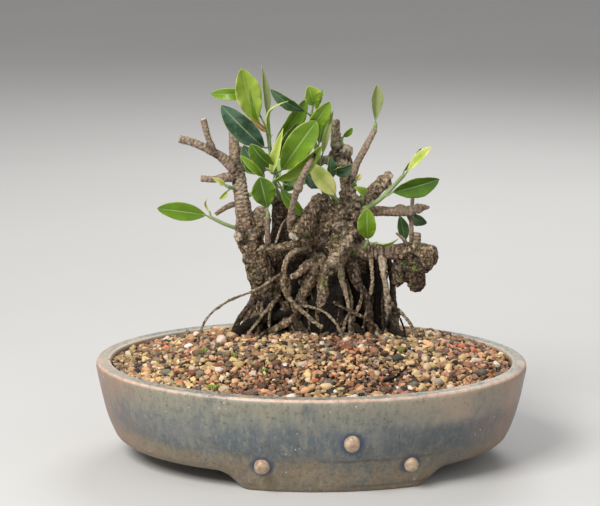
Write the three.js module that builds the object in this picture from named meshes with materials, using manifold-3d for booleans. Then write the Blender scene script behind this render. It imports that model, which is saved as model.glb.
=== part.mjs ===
// Chinese banyan bonsai in its oval glazed pot, in millimetres, +Z up.
// The origin is the centre of the pot, on the plane that its feet stand on.
import * as THREE from "three";
import { mergeVertices } from "three/addons/utils/BufferGeometryUtils.js";
import Module from "manifold-3d";

const wasm = await Module();
wasm.setup();

// Driving dimensions of the pot
const rimLength = 340;
const rimWidth = 248;
const potHeight = 78;
const footHeight = 12;
const floorThickness = 8;
const lipWidth = 11.5;
const drainHoleDiameter = 16;
const drainHoleSpacing = 120;
const potSegments = 36;

// The foot under the front of the pot: its flat sole, and the ramps at its ends
const foot = { centreX: 17, soleLength: 120, topLength: 178, thickness: 13, insetAtSole: 23 };
const nubs = [
  { x: -37.5, z: 22.5, radius: 6, height: 12 },
  { x: 74, z: 22.5, radius: 5.6, height: 11.4 },
  { x: 29.5, z: 42, radius: 6.1, height: 13.4 },
];
const nubDepth = 8.8;

// Screens over the drainage holes
const screen = { side: 27, thickness: 1, meshes: 3, bar: 1.6 };

// The grit: how far it lies below the rim at the wall, and how high it is mounded
const grit = {
  belowRim: 4.5,
  mound: 19,
  moundX: 8,
  moundY: 15,
  moundLength: 300,
  moundWidth: 216,
  cell: 9.8,
  jitter: 3.6,
  crown: 2.6,
  crevice: -1.2,
  lowerTop: 38.1,
  lowerDepth: 30,
};
const rootBall = { x: 2, y: 32, length: 140, width: 54, bottom: 34, top: 89 };

// Sizes that many pieces share
const gap = 0.3;
const bladeThickness = 0.9;
const woodSides = 5;
const stemSides = 4;
const bladeCells = { across: 2, along: 5 };
const stalkWidth = 2;
const stalkDepth = 1.8;
const tipWidth = 0.8;

const glaze = new THREE.MeshStandardMaterial({ color: 0x7f8b86, roughness: 0.45, metalness: 0 });
const gravel = new THREE.MeshStandardMaterial({ color: 0xa98f6c, roughness: 0.95, metalness: 0 });
const bark = new THREE.MeshStandardMaterial({ color: 0x8a7260, roughness: 0.9, metalness: 0 });
const plasticMesh = new THREE.MeshStandardMaterial({ color: 0x2f3331, roughness: 0.7, metalness: 0 });
const greens = {
  bright: new THREE.MeshStandardMaterial({ color: 0x7fa52b, roughness: 0.4, metalness: 0 }),
  middle: new THREE.MeshStandardMaterial({ color: 0x5d8a2c, roughness: 0.4, metalness: 0 }),
  dark: new THREE.MeshStandardMaterial({ color: 0x2f5a30, roughness: 0.35, metalness: 0 }),
  olive: new THREE.MeshStandardMaterial({ color: 0x77833f, roughness: 0.45, metalness: 0 }),
};

// A closed geometry as a solid, with its faces turned outwards
function solidFrom(geometry) {
  const bare = geometry.clone();
  bare.deleteAttribute("normal");
  bare.deleteAttribute("uv");
  const merged = mergeVertices(bare, 1e-3);
  const position = merged.attributes.position;
  const faces = [];
  let volume = 0;
  const a = new THREE.Vector3();
  const b = new THREE.Vector3();
  const c = new THREE.Vector3();
  for (let i = 0; i < merged.index.count; i += 3) {
    const [p, q, r] = [0, 1, 2].map((k) => merged.index.getX(i + k));
    if (p === q || q === r || r === p) continue;
    a.fromBufferAttribute(position, p);
    b.fromBufferAttribute(position, q);
    c.fromBufferAttribute(position, r);
    volume += a.dot(b.cross(c));
    faces.push([p, q, r]);
  }
  const triVerts = new Uint32Array(faces.flatMap(([p, q, r]) => (volume < 0 ? [p, r, q] : [p, q, r])));
  const vertProperties = new Float32Array(position.array);
  return new wasm.Manifold(new wasm.Mesh({ numProp: 3, vertProperties, triVerts }));
}

function joined(solids) {
  return solids.reduce((whole, next) => whole.add(next));
}

// The largest body of a solid: scraps that a cut leaves loose are dropped
function largestBody(solid) {
  return solid.decompose().sort((a, b) => b.volume() - a.volume())[0];
}

function meshOf(name, solid, material) {
  const { numProp, numVert, vertProperties, triVerts } = solid.getMesh();
  const points = new Float32Array(numVert * 3);
  for (let i = 0; i < numVert; i++) {
    points.set(vertProperties.subarray(i * numProp, i * numProp + 3), i * 3);
  }
  const geometry = new THREE.BufferGeometry();
  geometry.setAttribute("position", new THREE.BufferAttribute(points, 3));
  geometry.setIndex(new THREE.BufferAttribute(new Uint32Array(triVerts), 1));
  geometry.computeVertexNormals();
  const mesh = new THREE.Mesh(geometry, material);
  mesh.name = name;
  return mesh;
}

// A point on the oval that runs a fixed distance inside the rim's outline
function ovalPoint(inset, angle) {
  const a = rimLength / 2;
  const b = rimWidth / 2;
  const outwards = new THREE.Vector2(Math.cos(angle) / a, Math.sin(angle) / b).normalize();
  return new THREE.Vector2(
    a * Math.cos(angle) - inset * outwards.x,
    b * Math.sin(angle) - inset * outwards.y,
  );
}

// A ring or bowl that follows the rim's oval. Its profile is a list of [inset, height];
// an inset of null is the centre.
function ovalTurned(profile) {
  const a = rimLength / 2;
  const points = profile.map(([inset, z]) => new THREE.Vector2(inset === null ? 0 : a - inset, z));
  const geometry = new THREE.LatheGeometry(points, potSegments);
  geometry.rotateX(Math.PI / 2);
  const position = geometry.attributes.position;
  for (let i = 0; i < position.count; i++) {
    const radius = Math.hypot(position.getX(i), position.getY(i));
    if (radius < 1e-3) continue;
    const oval = ovalPoint(a - radius, Math.atan2(position.getY(i), position.getX(i)));
    position.setXY(i, oval.x, oval.y);
  }
  return solidFrom(geometry);
}

function bezierProfile(start, bend, end, steps) {
  const curve = new THREE.QuadraticBezierCurve(
    new THREE.Vector2(...start),
    new THREE.Vector2(...bend),
    new THREE.Vector2(...end),
  );
  return curve.getPoints(steps).map((p) => [p.x, p.y]);
}

// Tapered round limb through points of [x, y, z, radius]. extra makes it fatter all round.
function limb(route, { sides = woodSides, steps = 0, extra = 0 } = {}) {
  const thin = 0.05;
  const points = route.map(([x, y, z]) => new THREE.Vector3(x, y, z));
  const last = points.length - 1;
  if (extra > 0) {
    points[0].lerpVectors(points[1], points[0], 1 + extra / points[0].distanceTo(points[1]));
    const end = points[last].distanceTo(points[last - 1]);
    points[last].lerpVectors(points[last - 1], points[last].clone(), 1 + extra / end);
  }
  const curve = new THREE.CatmullRomCurve3(points, false, "centripetal");
  const count = steps || Math.max(2, last);
  const section = new THREE.Shape();
  for (let k = 0; k < sides; k++) {
    const turn = (2 * Math.PI * k) / sides;
    if (k === 0) section.moveTo(thin * Math.cos(turn), thin * Math.sin(turn));
    else section.lineTo(thin * Math.cos(turn), thin * Math.sin(turn));
  }
  const geometry = new THREE.ExtrudeGeometry(section, {
    steps: count,
    extrudePath: curve,
    bevelEnabled: false,
    curveSegments: 1,
  });
  const centres = curve.getSpacedPoints(count);
  const lengths = curve.getLengths(40 * last);
  const reached = route.map((_, k) => lengths[40 * k] / lengths[40 * last]);
  const radiusAt = (share) => {
    let k = 1;
    while (k < last && reached[k] < share) k++;
    const within = THREE.MathUtils.clamp((share - reached[k - 1]) / (reached[k] - reached[k - 1]), 0, 1);
    return THREE.MathUtils.lerp(route[k - 1][3], route[k][3], within) + extra;
  };
  const position = geometry.attributes.position;
  const vertex = new THREE.Vector3();
  for (let i = 0; i < position.count; i++) {
    vertex.fromBufferAttribute(position, i);
    let nearest = 0;
    centres.forEach((centre, k) => {
      if (centre.distanceToSquared(vertex) < centres[nearest].distanceToSquared(vertex)) nearest = k;
    });
    vertex.sub(centres[nearest]).multiplyScalar(radiusAt(nearest / count) / thin);
    vertex.add(centres[nearest]);
    position.setXYZ(i, vertex.x, vertex.y, vertex.z);
  }
  return solidFrom(geometry);
}

// A rough lump of wood
function knob([x, y, z, radius], [sx, sy, sz], extra = 0) {
  const geometry = new THREE.IcosahedronGeometry(radius + extra, 1);
  const position = geometry.attributes.position;
  for (let i = 0; i < position.count; i++) {
    const wobble = 1 + 0.1 * Math.sin(position.getX(i) * 1.7 + position.getZ(i) * 1.1 + x);
    position.setXYZ(i, position.getX(i) * wobble, position.getY(i) * wobble, position.getZ(i) * wobble);
  }
  return solidFrom(geometry.scale(sx, sy, sz).translate(x, y, z));
}

// POT: wall, floor, feet and nubs fired as one piece
function potSolid() {
  const floorTop = footHeight + floorThickness;
  const outside = [
    [null, footHeight],
    [27, footHeight],
    ...bezierProfile([21, footHeight + 1], [11, 20], [5.5, 46], 4),
    ...bezierProfile([1.9, 62], [0, 67], [0, 74], 2),
    ...bezierProfile([0.3, 76.4], [0.8, potHeight], [2.6, potHeight], 2),
  ];
  const inside = [
    ...bezierProfile([9, potHeight], [lipWidth, potHeight], [lipWidth, potHeight - 3], 1),
    [13, 60],
    ...bezierProfile([16.5, 42], [20, 23], [36, floorTop], 3),
    [null, floorTop],
  ];
  const bowl = ovalTurned([...outside, ...inside]);
  const ring = ovalTurned([
    [foot.insetAtSole, 0],
    [foot.insetAtSole - 2, 0.8],
    [17.5, footHeight],
    [14, footHeight + 8],
    [14 + foot.thickness, footHeight + 8],
    [foot.insetAtSole + foot.thickness, 0],
    [foot.insetAtSole, 0],
  ]);
  const front = ring.intersect(footOutline());
  const back = ring.intersect(footOutline().rotate([0, 0, 180]));
  const studs = nubs.map(nub);
  const allStuds = [...studs, ...studs.map((s) => s.rotate([0, 0, 180]))];
  const drains = [-1, 1].map((side) => {
    const cylinder = new THREE.CylinderGeometry(drainHoleDiameter / 2, drainHoleDiameter / 2, 30, 20);
    cylinder.rotateX(Math.PI / 2).translate((side * drainHoleSpacing) / 2, 0, footHeight + 4);
    return solidFrom(cylinder);
  });
  return joined([bowl, front, back, ...allStuds]).subtract(joined(drains));
}

// What the front foot keeps of the ring: S-shaped ramps at both ends
function footOutline() {
  const sole = foot.soleLength / 2;
  const top = foot.topLength / 2;
  const run = top - sole;
  const side = new THREE.Shape();
  side.moveTo(-sole, -1);
  side.lineTo(sole, -1);
  side.lineTo(sole, 0);
  side.bezierCurveTo(sole + run * 0.5, 0, sole + run * 0.5, footHeight, top, footHeight);
  side.lineTo(top + 4, footHeight + 9);
  side.lineTo(-top - 4, footHeight + 9);
  side.lineTo(-top, footHeight);
  side.bezierCurveTo(-sole - run * 0.5, footHeight, -sole - run * 0.5, 0, -sole, 0);
  const slab = new THREE.ExtrudeGeometry(side, { depth: rimWidth, bevelEnabled: false, curveSegments: 4 });
  slab.rotateX(Math.PI / 2).translate(foot.centreX, 0, 0);
  return solidFrom(slab);
}

// A flattened ball, half sunk in the front of the wall
function nub({ x, z, radius, height }) {
  const inset = z < 30 ? 13.2 : 6.8;
  const b = rimWidth / 2 - inset;
  const wall = -b * Math.sqrt(1 - (x / (rimLength / 2 - inset)) ** 2);
  const ball = new THREE.SphereGeometry(1, 8, 5);
  ball.rotateX(Math.PI / 2).scale(radius, nubDepth / 2, height / 2);
  return solidFrom(ball.translate(x, wall - 0.9, z));
}

// SCREENS: plastic mesh on the floor, over each drainage hole
function screenSolid(side) {
  const sheet = new THREE.BoxGeometry(screen.side, screen.side, screen.thickness);
  const pitch = (screen.side - screen.bar) / screen.meshes;
  const openings = [];
  for (let i = 0; i < screen.meshes; i++) {
    for (let j = 0; j < screen.meshes; j++) {
      const opening = new THREE.BoxGeometry(pitch - screen.bar, pitch - screen.bar, 3 * screen.thickness);
      const first = (pitch - screen.side + screen.bar) / 2;
      openings.push(solidFrom(opening.translate(first + i * pitch, first + j * pitch, 0)));
    }
  }
  const lie = footHeight + floorThickness + gap + screen.thickness / 2;
  return solidFrom(sheet)
    .subtract(joined(openings))
    .translate([(side * drainHoleSpacing) / 2, 0, lie]);
}

// GRIT: fills the pot, mounded to the trunk, its stones raised larger than life
function moundHeight(x, y) {
  const across = (2 * (x - grit.moundX)) / grit.moundLength;
  const deep = (2 * (y - grit.moundY)) / grit.moundWidth;
  return potHeight - grit.belowRim + grit.mound * Math.max(0, 1 - across * across - deep * deep);
}

// An even scatter of values from 0 to 1 over whole numbers i and j
function scatter(i, j) {
  const value = Math.sin(12.9898 * i + 78.233 * j) * 43758.5453;
  return value - Math.floor(value);
}

function gritSolid(sockets, screens) {
  const columns = Math.round(rimLength / grit.cell);
  const rows = Math.round(rimWidth / grit.cell);
  const depth = 40;
  const block = new THREE.BoxGeometry(rimLength, rimWidth, depth, columns, rows, 1);
  const position = block.attributes.position;
  for (let k = 0; k < position.count; k++) {
    if (position.getZ(k) < 0) {
      position.setZ(k, potHeight - depth / 2);
      continue;
    }
    const i = Math.round((position.getX(k) / rimLength + 0.5) * columns);
    const j = Math.round((position.getY(k) / rimWidth + 0.5) * rows);
    const inside = i > 0 && j > 0 && i < columns && j < rows;
    const x = position.getX(k) + (inside ? grit.jitter * (scatter(i, j) - 0.5) : 0);
    const y = position.getY(k) + (inside ? grit.jitter * (scatter(j, i + 7) - 0.5) : 0);
    const isStone = (i + j) % 2 === 0;
    const relief = isStone ? grit.crown * (0.4 + scatter(i + 3, j)) : grit.crevice;
    position.setXYZ(k, x, y, moundHeight(x, y) + relief + depth / 2);
  }
  block.translate(0, 0, -depth / 2);
  const surface = solidFrom(block);
  const wallGap = gap + 0.15;
  const floorTop = footHeight + floorThickness;
  const fill = ovalTurned([
    [null, floorTop + gap],
    ...bezierProfile([16.5 + wallGap, 42], [20 + wallGap, 23 + gap], [37, floorTop + gap], 3).reverse(),
    [13 + wallGap, 60],
    [lipWidth + wallGap, potHeight - 3],
    [lipWidth + wallGap, potHeight + 30],
    [null, potHeight + 30],
  ]);
  const box = new THREE.BoxGeometry(rimLength, rimWidth, grit.lowerDepth);
  const lower = solidFrom(box.translate(0, 0, grit.lowerTop - grit.lowerDepth / 2));
  return largestBody(fill.intersect(surface.add(lower)).subtract(joined([...sockets, ...screens])));
}

function screenPocket(side) {
  const wide = screen.side + 2 * gap;
  const tall = screen.thickness + 4 * gap;
  const pocket = new THREE.BoxGeometry(wide, wide, tall);
  pocket.translate((side * drainHoleSpacing) / 2, 0, footHeight + floorThickness + tall / 2);
  return solidFrom(pocket);
}

function rootBallSolid(extra) {
  const ball = new THREE.CylinderGeometry(1, 0.8, rootBall.top - rootBall.bottom + 2 * extra, 16);
  ball.rotateX(Math.PI / 2);
  ball.scale(rootBall.length / 2 + extra, rootBall.width / 2 + extra, 1);
  return solidFrom(ball.translate(rootBall.x, rootBall.y, (rootBall.top + rootBall.bottom) / 2));
}

// WOOD: each limb is a route of [x, y, z, radius]
const trunkLimbs = [
  { sides: 7, route: [[8, 38, 80, 27], [9, 38, 105, 22], [12, 38, 130, 20], [15, 36, 158, 20],
    [14, 35, 188, 18], [16, 36, 199, 11]] },
  { sides: 8, route: [[-14, 44, 84, 17], [-12, 44, 114, 15], [-13, 43, 135, 14], [-8, 40, 158, 12]] },
  { sides: 8, route: [[36, 44, 84, 17], [33, 43, 112, 14], [34, 41, 132, 13], [32, 38, 157, 12],
    [30, 36, 182, 11], [29, 36, 199, 8]] },
  { sides: 8, route: [[-20, 56, 84, 14], [-21, 56, 116, 12], [-22, 57, 146, 12],
    [-24, 58, 174, 9], [-25, 60, 198, 7]] },
  { sides: 8, route: [[14, 50, 88, 22], [16, 52, 118, 18], [16, 50, 150, 17], [16, 46, 180, 12]] },
];
const leftLimbs = [
  { sides: 8, route: [[-33, 34, 96, 9], [-36, 32, 118, 10], [-40, 30, 138, 11.5],
    [-46, 28, 157, 10], [-52, 27, 171, 9.4], [-54, 28, 187, 6.6], [-57, 30, 207, 6],
    [-60, 32, 227, 5.6], [-62, 34, 242, 4.6], [-63, 35, 253, 3.8]] },
  { sides: 7, route: [[-30, 32, 128, 8], [-18, 42, 135, 12]] },
  { sides: 6, route: [[-40, 30, 148, 8], [-26, 46, 152, 9]] },
  { route: [[-59, 32, 229, 4.5], [-55, 35, 241, 3.4]] },
  { route: [[-60, 30, 222, 4.6], [-71, 28, 233, 4.2], [-82, 26, 240, 3.6], [-94, 24, 246, 3.2],
    [-105, 23, 249, 3.4]] },
  { route: [[-76, 27, 235, 3.2], [-82, 25, 249, 2.6], [-86, 24, 265, 2.7]] },
  { route: [[-59, 30, 216, 3.6], [-68, 26, 218, 4], [-77, 22, 217, 2.8], [-88, 20, 218, 2.9]] },
  { route: [[-56, 32, 197, 2.8], [-67, 34, 193, 2.2], [-77, 36, 186, 1.8]] },
  { sides: 7, route: [[-50, 27, 171, 5], [-59, 16, 172, 4.2]] },
  { route: [[-40, 28, 136, 7], [-43, 17, 138, 4.4]] },
];
const upperLimbs = [
  { sides: 7, route: [[27, 35, 186, 10], [29, 34, 206, 6.5], [27, 34, 222, 6], [23, 34, 234, 6.5],
    [19, 35, 241, 5], [18, 36, 250, 4.2], [18, 37, 263, 3.4]] },
  { route: [[18, 34, 237, 5], [26, 32, 237, 5.8], [28, 31, 243, 4]] },
  { route: [[29, 33, 212, 4.4], [34, 30, 227, 3.2], [42, 28, 243, 2.8], [49, 27, 257, 2.3]] },
  { route: [[30, 38, 183, 8], [43, 42, 197, 6], [52, 44, 207, 5.8], [58, 45, 212, 6.8]] },
  { route: [[30, 36, 186, 6], [47, 34, 190, 4.3], [63, 32, 190, 3.9], [77, 31, 191, 4.3],
    [87, 30, 194, 3.2], [93, 29, 194, 1]] },
  { sides: 7, route: [[8, 26, 200, 7], [1, 16, 197, 5.2], [-7, 6, 186, 4.6], [-15, -4, 176, 4.4]] },
  { route: [[-12, 14, 172, 3], [-16, 10, 186, 2.5], [-13, 8, 207, 2.4], [-7, 7, 223, 2.5],
    [-2, 7, 231, 2], [2, 7, 237, 1.1]] },
  { route: [[-35, 15, 162, 2.8], [-35, 12, 175, 2.2], [-35, 10, 190, 2]] },
  { sides: 7, route: [[-41, 13, 162, 4], [-29, 13, 164, 3.6], [-18, 13, 166, 3.4],
    [-7, 14, 169, 3.8], [10, 24, 170, 6]] },
  { sides: 7, route: [[26, 22, 170, 8], [21, 12, 163, 5.4], [15, 3, 153, 4.4]] },
  { route: [[4, 26, 152, 5], [-5, 16, 149, 3.2], [-11, 12, 143, 2.8], [-17, 10, 141, 2.5]] },
];
const rightLimbs = [
  { sides: 8, route: [[28, 36, 163, 12], [44, 32, 158, 6.8], [62, 29, 158, 6.3],
    [78, 28, 158, 7.6], [90, 28, 157, 8.4], [99, 28, 155, 5]] },
  { sides: 8, route: [[78, 29, 156, 9], [81, 31, 142, 9.4], [84, 32, 130, 7], [84, 32, 125, 4]] },
  { route: [[72, 31, 152, 7], [70, 30, 137, 6], [66, 30, 131, 4]] },
  { sides: stemSides, route: [[78, 26, 160, 2], [72, 23, 170, 1.5], [66, 22, 175, 1.1]] },
  { sides: stemSides, route: [[80, 34, 160, 2.4], [79, 37, 180, 1.9], [80, 40, 203, 1.6]] },
  { route: [[83, 32, 160, 3.4], [84, 33, 173, 2.8]] },
];
const roots = [
  { route: [[6, 28, 156, 7], [1, 22, 144, 5.6], [-4, 21, 131, 5], [-10, 22, 118, 4.6],
    [-13, 26, 100, 5], [-13, 28, 84, 6]] },
  { route: [[14, 28, 154, 7], [9, 21, 138, 5.2], [9, 21, 124, 5], [5, 23, 107, 5], [3, 27, 84, 6.5]] },
  { route: [[22, 24, 150, 4], [24, 19, 137, 3.4], [28, 18, 123, 2.1], [30, 18, 108, 2],
    [31, 20, 84, 2.4]] },
  { route: [[24, 22, 136, 3], [23, 22, 123, 2.8], [26, 24, 86, 3.6]] },
  { route: [[31, 28, 148, 6], [37, 22, 133, 3.8], [43, 24, 122, 3.2], [49, 29, 86, 3.4]] },
  { sides: stemSides, route: [[47, 28, 154, 2], [48, 24, 132, 1.5], [45, 23, 118, 1.4],
    [40, 24, 86, 1.6]] },
  { route: [[52, 32, 156, 4], [52, 32, 125, 3], [52, 33, 86, 3]] },
  { route: [[55, 28, 158, 4], [58, 24, 137, 2.6], [60, 24, 122, 2.8], [62, 28, 102, 3.3],
    [62, 32, 84, 4]] },
  { sides: stemSides, route: [[61, 25, 119, 1.7], [73, 24, 108, 1.3], [81, 26, 96, 1.5],
    [82, 28, 80, 1.8]] },
  { sides: stemSides, route: [[62, 27, 109, 2.2], [67, 24, 98, 2.2], [74, 22, 90, 2.6],
    [82, 19, 82, 2]] },
  { route: [[-36, 30, 136, 8], [-39, 28, 122, 5], [-42, 28, 110, 4.6], [-45, 31, 84, 6]] },
  { sides: stemSides, route: [[-40, 27, 128, 3.6], [-50, 26, 114, 2.4], [-59, 28, 100, 2.4],
    [-66, 32, 82, 3]] },
  { route: [[-16, 26, 110, 6], [-37, 23, 104, 3.8], [-50, 23, 99, 3.8], [-62, 26, 88, 3.6],
    [-66, 29, 80, 3]] },
  { sides: stemSides, route: [[-14, 24, 104, 4], [-28, 16, 98, 2.4], [-38, 12, 94, 2],
    [-48, 7, 86, 1.6], [-53, 4, 80, 1.3]] },
  { sides: stemSides, route: [[-34, 14, 97, 2], [-39, 9, 92, 1.8], [-42, 5, 82, 1.7]] },
  { sides: stemSides, route: [[-35, 30, 129, 3.6], [-27, 26, 120, 2.6], [-16, 26, 106, 3]] },
  { sides: stemSides, route: [[-12, 19, 117, 1.7], [8, 14, 113, 1.5], [17, 12, 106, 1.5],
    [24, 8, 95, 1.4], [27, 4, 84, 1.4]] },
  { sides: stemSides, route: [[12, 22, 121, 1.8], [30, 18, 112, 1.5], [43, 18, 106, 1.4],
    [53, 20, 97, 1.4], [60, 20, 82, 1.5]] },
  { route: [[22, 26, 106, 5], [36, 20, 98, 2.8], [45, 20, 86, 2.6]] },
  { route: [[58, 34, 104, 5], [69, 24, 92, 3.6], [80, 15, 82, 2.6]] },
  { route: [[-12, 24, 100, 5], [-5, 15, 95, 3.2], [2, 8, 86, 2.6]] },
  { sides: stemSides, route: [[-2, 20, 166, 3.4], [-13, 12, 162, 2.6], [-20, 9, 155, 2.4],
    [-22, 7, 145, 2.3], [-22, 7, 133, 2.1], [-16, 7, 122, 2], [-7, 6, 114, 1.8], [4, 3, 105, 1.6],
    [9, 2, 102, 2]] },
  { sides: stemSides, route: [[-21, 8, 146, 1.7], [-44, 5, 132, 1.5], [-67, 4, 122, 1.5],
    [-82, 2, 110, 1.4], [-88, 0, 97, 1.4], [-92, -3, 78, 1.8]] },
  { sides: stemSides, route: [[-22, 10, 146, 1.8], [-22, 11, 135, 1.6], [-17, 13, 122, 1.5],
    [-12, 20, 108, 2]] },
  { route: [[-26, 58, 122, 6], [-36, 64, 106, 4], [-42, 62, 86, 5]] },
  { route: [[-12, 62, 120, 6], [-14, 70, 104, 4.4], [-20, 74, 80, 4]] },
  { route: [[14, 64, 122, 7], [10, 72, 104, 4.6], [8, 76, 80, 4]] },
  { route: [[36, 54, 118, 6], [44, 62, 102, 4], [50, 66, 80, 3.6]] },
  { route: [[58, 36, 156, 4], [64, 46, 136, 2.8], [66, 50, 114, 2.6], [70, 48, 80, 3]] },
  { sides: stemSides, route: [[24, 60, 134, 3], [30, 74, 116, 2], [34, 84, 98, 1.8],
    [36, 88, 76, 1.8]] },
];
const knobs = [
  { at: [-47, 27, 170, 9], stretch: [1, 0.95, 1.1] },
  { at: [24, 24, 186, 12], stretch: [1.1, 0.8, 1] },
  { at: [16, 18, 166, 9], stretch: [1.5, 0.8, 0.9] },
  { at: [94, 28, 156, 8.6], stretch: [0.8, 1, 1] },
  { at: [58, 45, 212, 7], stretch: [1, 1, 1] },
  { at: [17, 50, 168, 17], stretch: [1.3, 0.8, 1.4] },
  { at: [-24, 56, 150, 13], stretch: [0.9, 0.8, 1.2] },
];

// All the wood, or the room that it needs when extra is more than nothing
function woodSolid(extra = 0) {
  const limbs = [...trunkLimbs, ...leftLimbs, ...upperLimbs, ...rightLimbs, ...roots];
  const tubes = limbs.map(({ route, sides }) => limb(route, { sides, extra }));
  const lumps = knobs.map(({ at, stretch }) => knob(at, stretch, extra));
  return largestBody(joined([...tubes, ...lumps, rootBallSolid(extra)]));
}

// LEAVES
// Half the width of a blade, as a share of its widest, from base (0) to tip (1)
const outlines = {
  oval: (t) => Math.sin(Math.PI * t ** 0.92) ** 0.62 * (1 - 0.25 * t ** 8),
  pointed: (t) => Math.sin(Math.PI * t ** 0.84) ** 0.8 * (1 - 0.5 * t ** 6),
  spear: (t) => Math.sin(Math.PI * t ** 0.7) ** 0.9,
  round: (t) => Math.sin(Math.PI * t ** 1.15) ** 0.55,
};

// A closed sheet: a grid of points with their normals, the same on both faces
function thickSheet(across, along, thickness, place) {
  const grid = new THREE.PlaneGeometry(2, 1, across, along);
  const count = grid.attributes.position.count;
  const points = new Float32Array(count * 6);
  for (let i = 0; i < count; i++) {
    const spot = grid.attributes.position;
    const { point, normal } = place(spot.getX(i), spot.getY(i) + 0.5);
    const half = normal.clone().multiplyScalar(thickness / 2);
    points.set(point.clone().add(half).toArray(), i * 3);
    points.set(point.clone().sub(half).toArray(), (count + i) * 3);
  }
  const index = [];
  const face = [...grid.index.array];
  for (let i = 0; i < face.length; i += 3) {
    index.push(face[i], face[i + 1], face[i + 2]);
    index.push(face[i + 2] + count, face[i + 1] + count, face[i] + count);
  }
  const row = across + 1;
  const border = [];
  for (let i = 0; i < across; i++) border.push(i);
  for (let j = 0; j < along; j++) border.push(j * row + across);
  for (let i = across; i > 0; i--) border.push(along * row + i);
  for (let j = along; j > 0; j--) border.push(j * row);
  border.forEach((from, k) => {
    const to = border[(k + 1) % border.length];
    index.push(from, to, from + count, to, to + count, from + count);
  });
  const sheet = new THREE.BufferGeometry();
  sheet.setAttribute("position", new THREE.BufferAttribute(points, 3));
  return sheet.setIndex(index);
}

// A leaf: blade and stalk. roll turns the blade about its length, from facing the front;
// fold lifts its halves, bow arches it, and wave ruffles its margin.
function leaf({ from, base, tip, width, shape = "oval", ...pose }) {
  const { roll = 0, fold = 16, bow = 0.08, wave = 0.03 } = pose;
  const root = new THREE.Vector3(...base);
  const axis = new THREE.Vector3(...tip).sub(root);
  const length = axis.length();
  axis.normalize();
  const front = new THREE.Vector3(0, -1, 0).addScaledVector(axis, axis.y).normalize();
  const turn = THREE.MathUtils.degToRad(roll);
  const facing = front.clone().applyAxisAngle(axis, turn);
  const lift = THREE.MathUtils.degToRad(fold);
  const rows = bladeCells.along + 1;
  const place = (u, row) => {
    const t = (row * rows - 1) / bladeCells.along;
    if (t < 0) {
      const across = new THREE.Vector3().crossVectors(facing, axis).multiplyScalar((u * stalkWidth) / 2);
      const point = new THREE.Vector3(...from).add(across);
      return { point, normal: facing.clone().multiplyScalar(stalkDepth) };
    }
    const half = Math.max(stalkWidth / 2, (width / 2) * outlines[shape](t));
    const side = new THREE.Vector3().crossVectors(facing, axis);
    const ruffle = wave * width * Math.abs(u) * Math.sin(5 * Math.PI * t + 2 * u);
    const rise = half * Math.abs(u) * Math.sin(lift) + bow * length * Math.sin(Math.PI * t) + ruffle;
    const point = root
      .clone()
      .addScaledVector(axis, length * t)
      .addScaledVector(side, (t < 1 ? half : tipWidth / 2) * u * Math.cos(lift))
      .addScaledVector(facing, t < 1 ? rise : 0);
    return { point, normal: facing };
  };
  return solidFrom(thickSheet(bladeCells.across, rows, bladeThickness, place));
}

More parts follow.
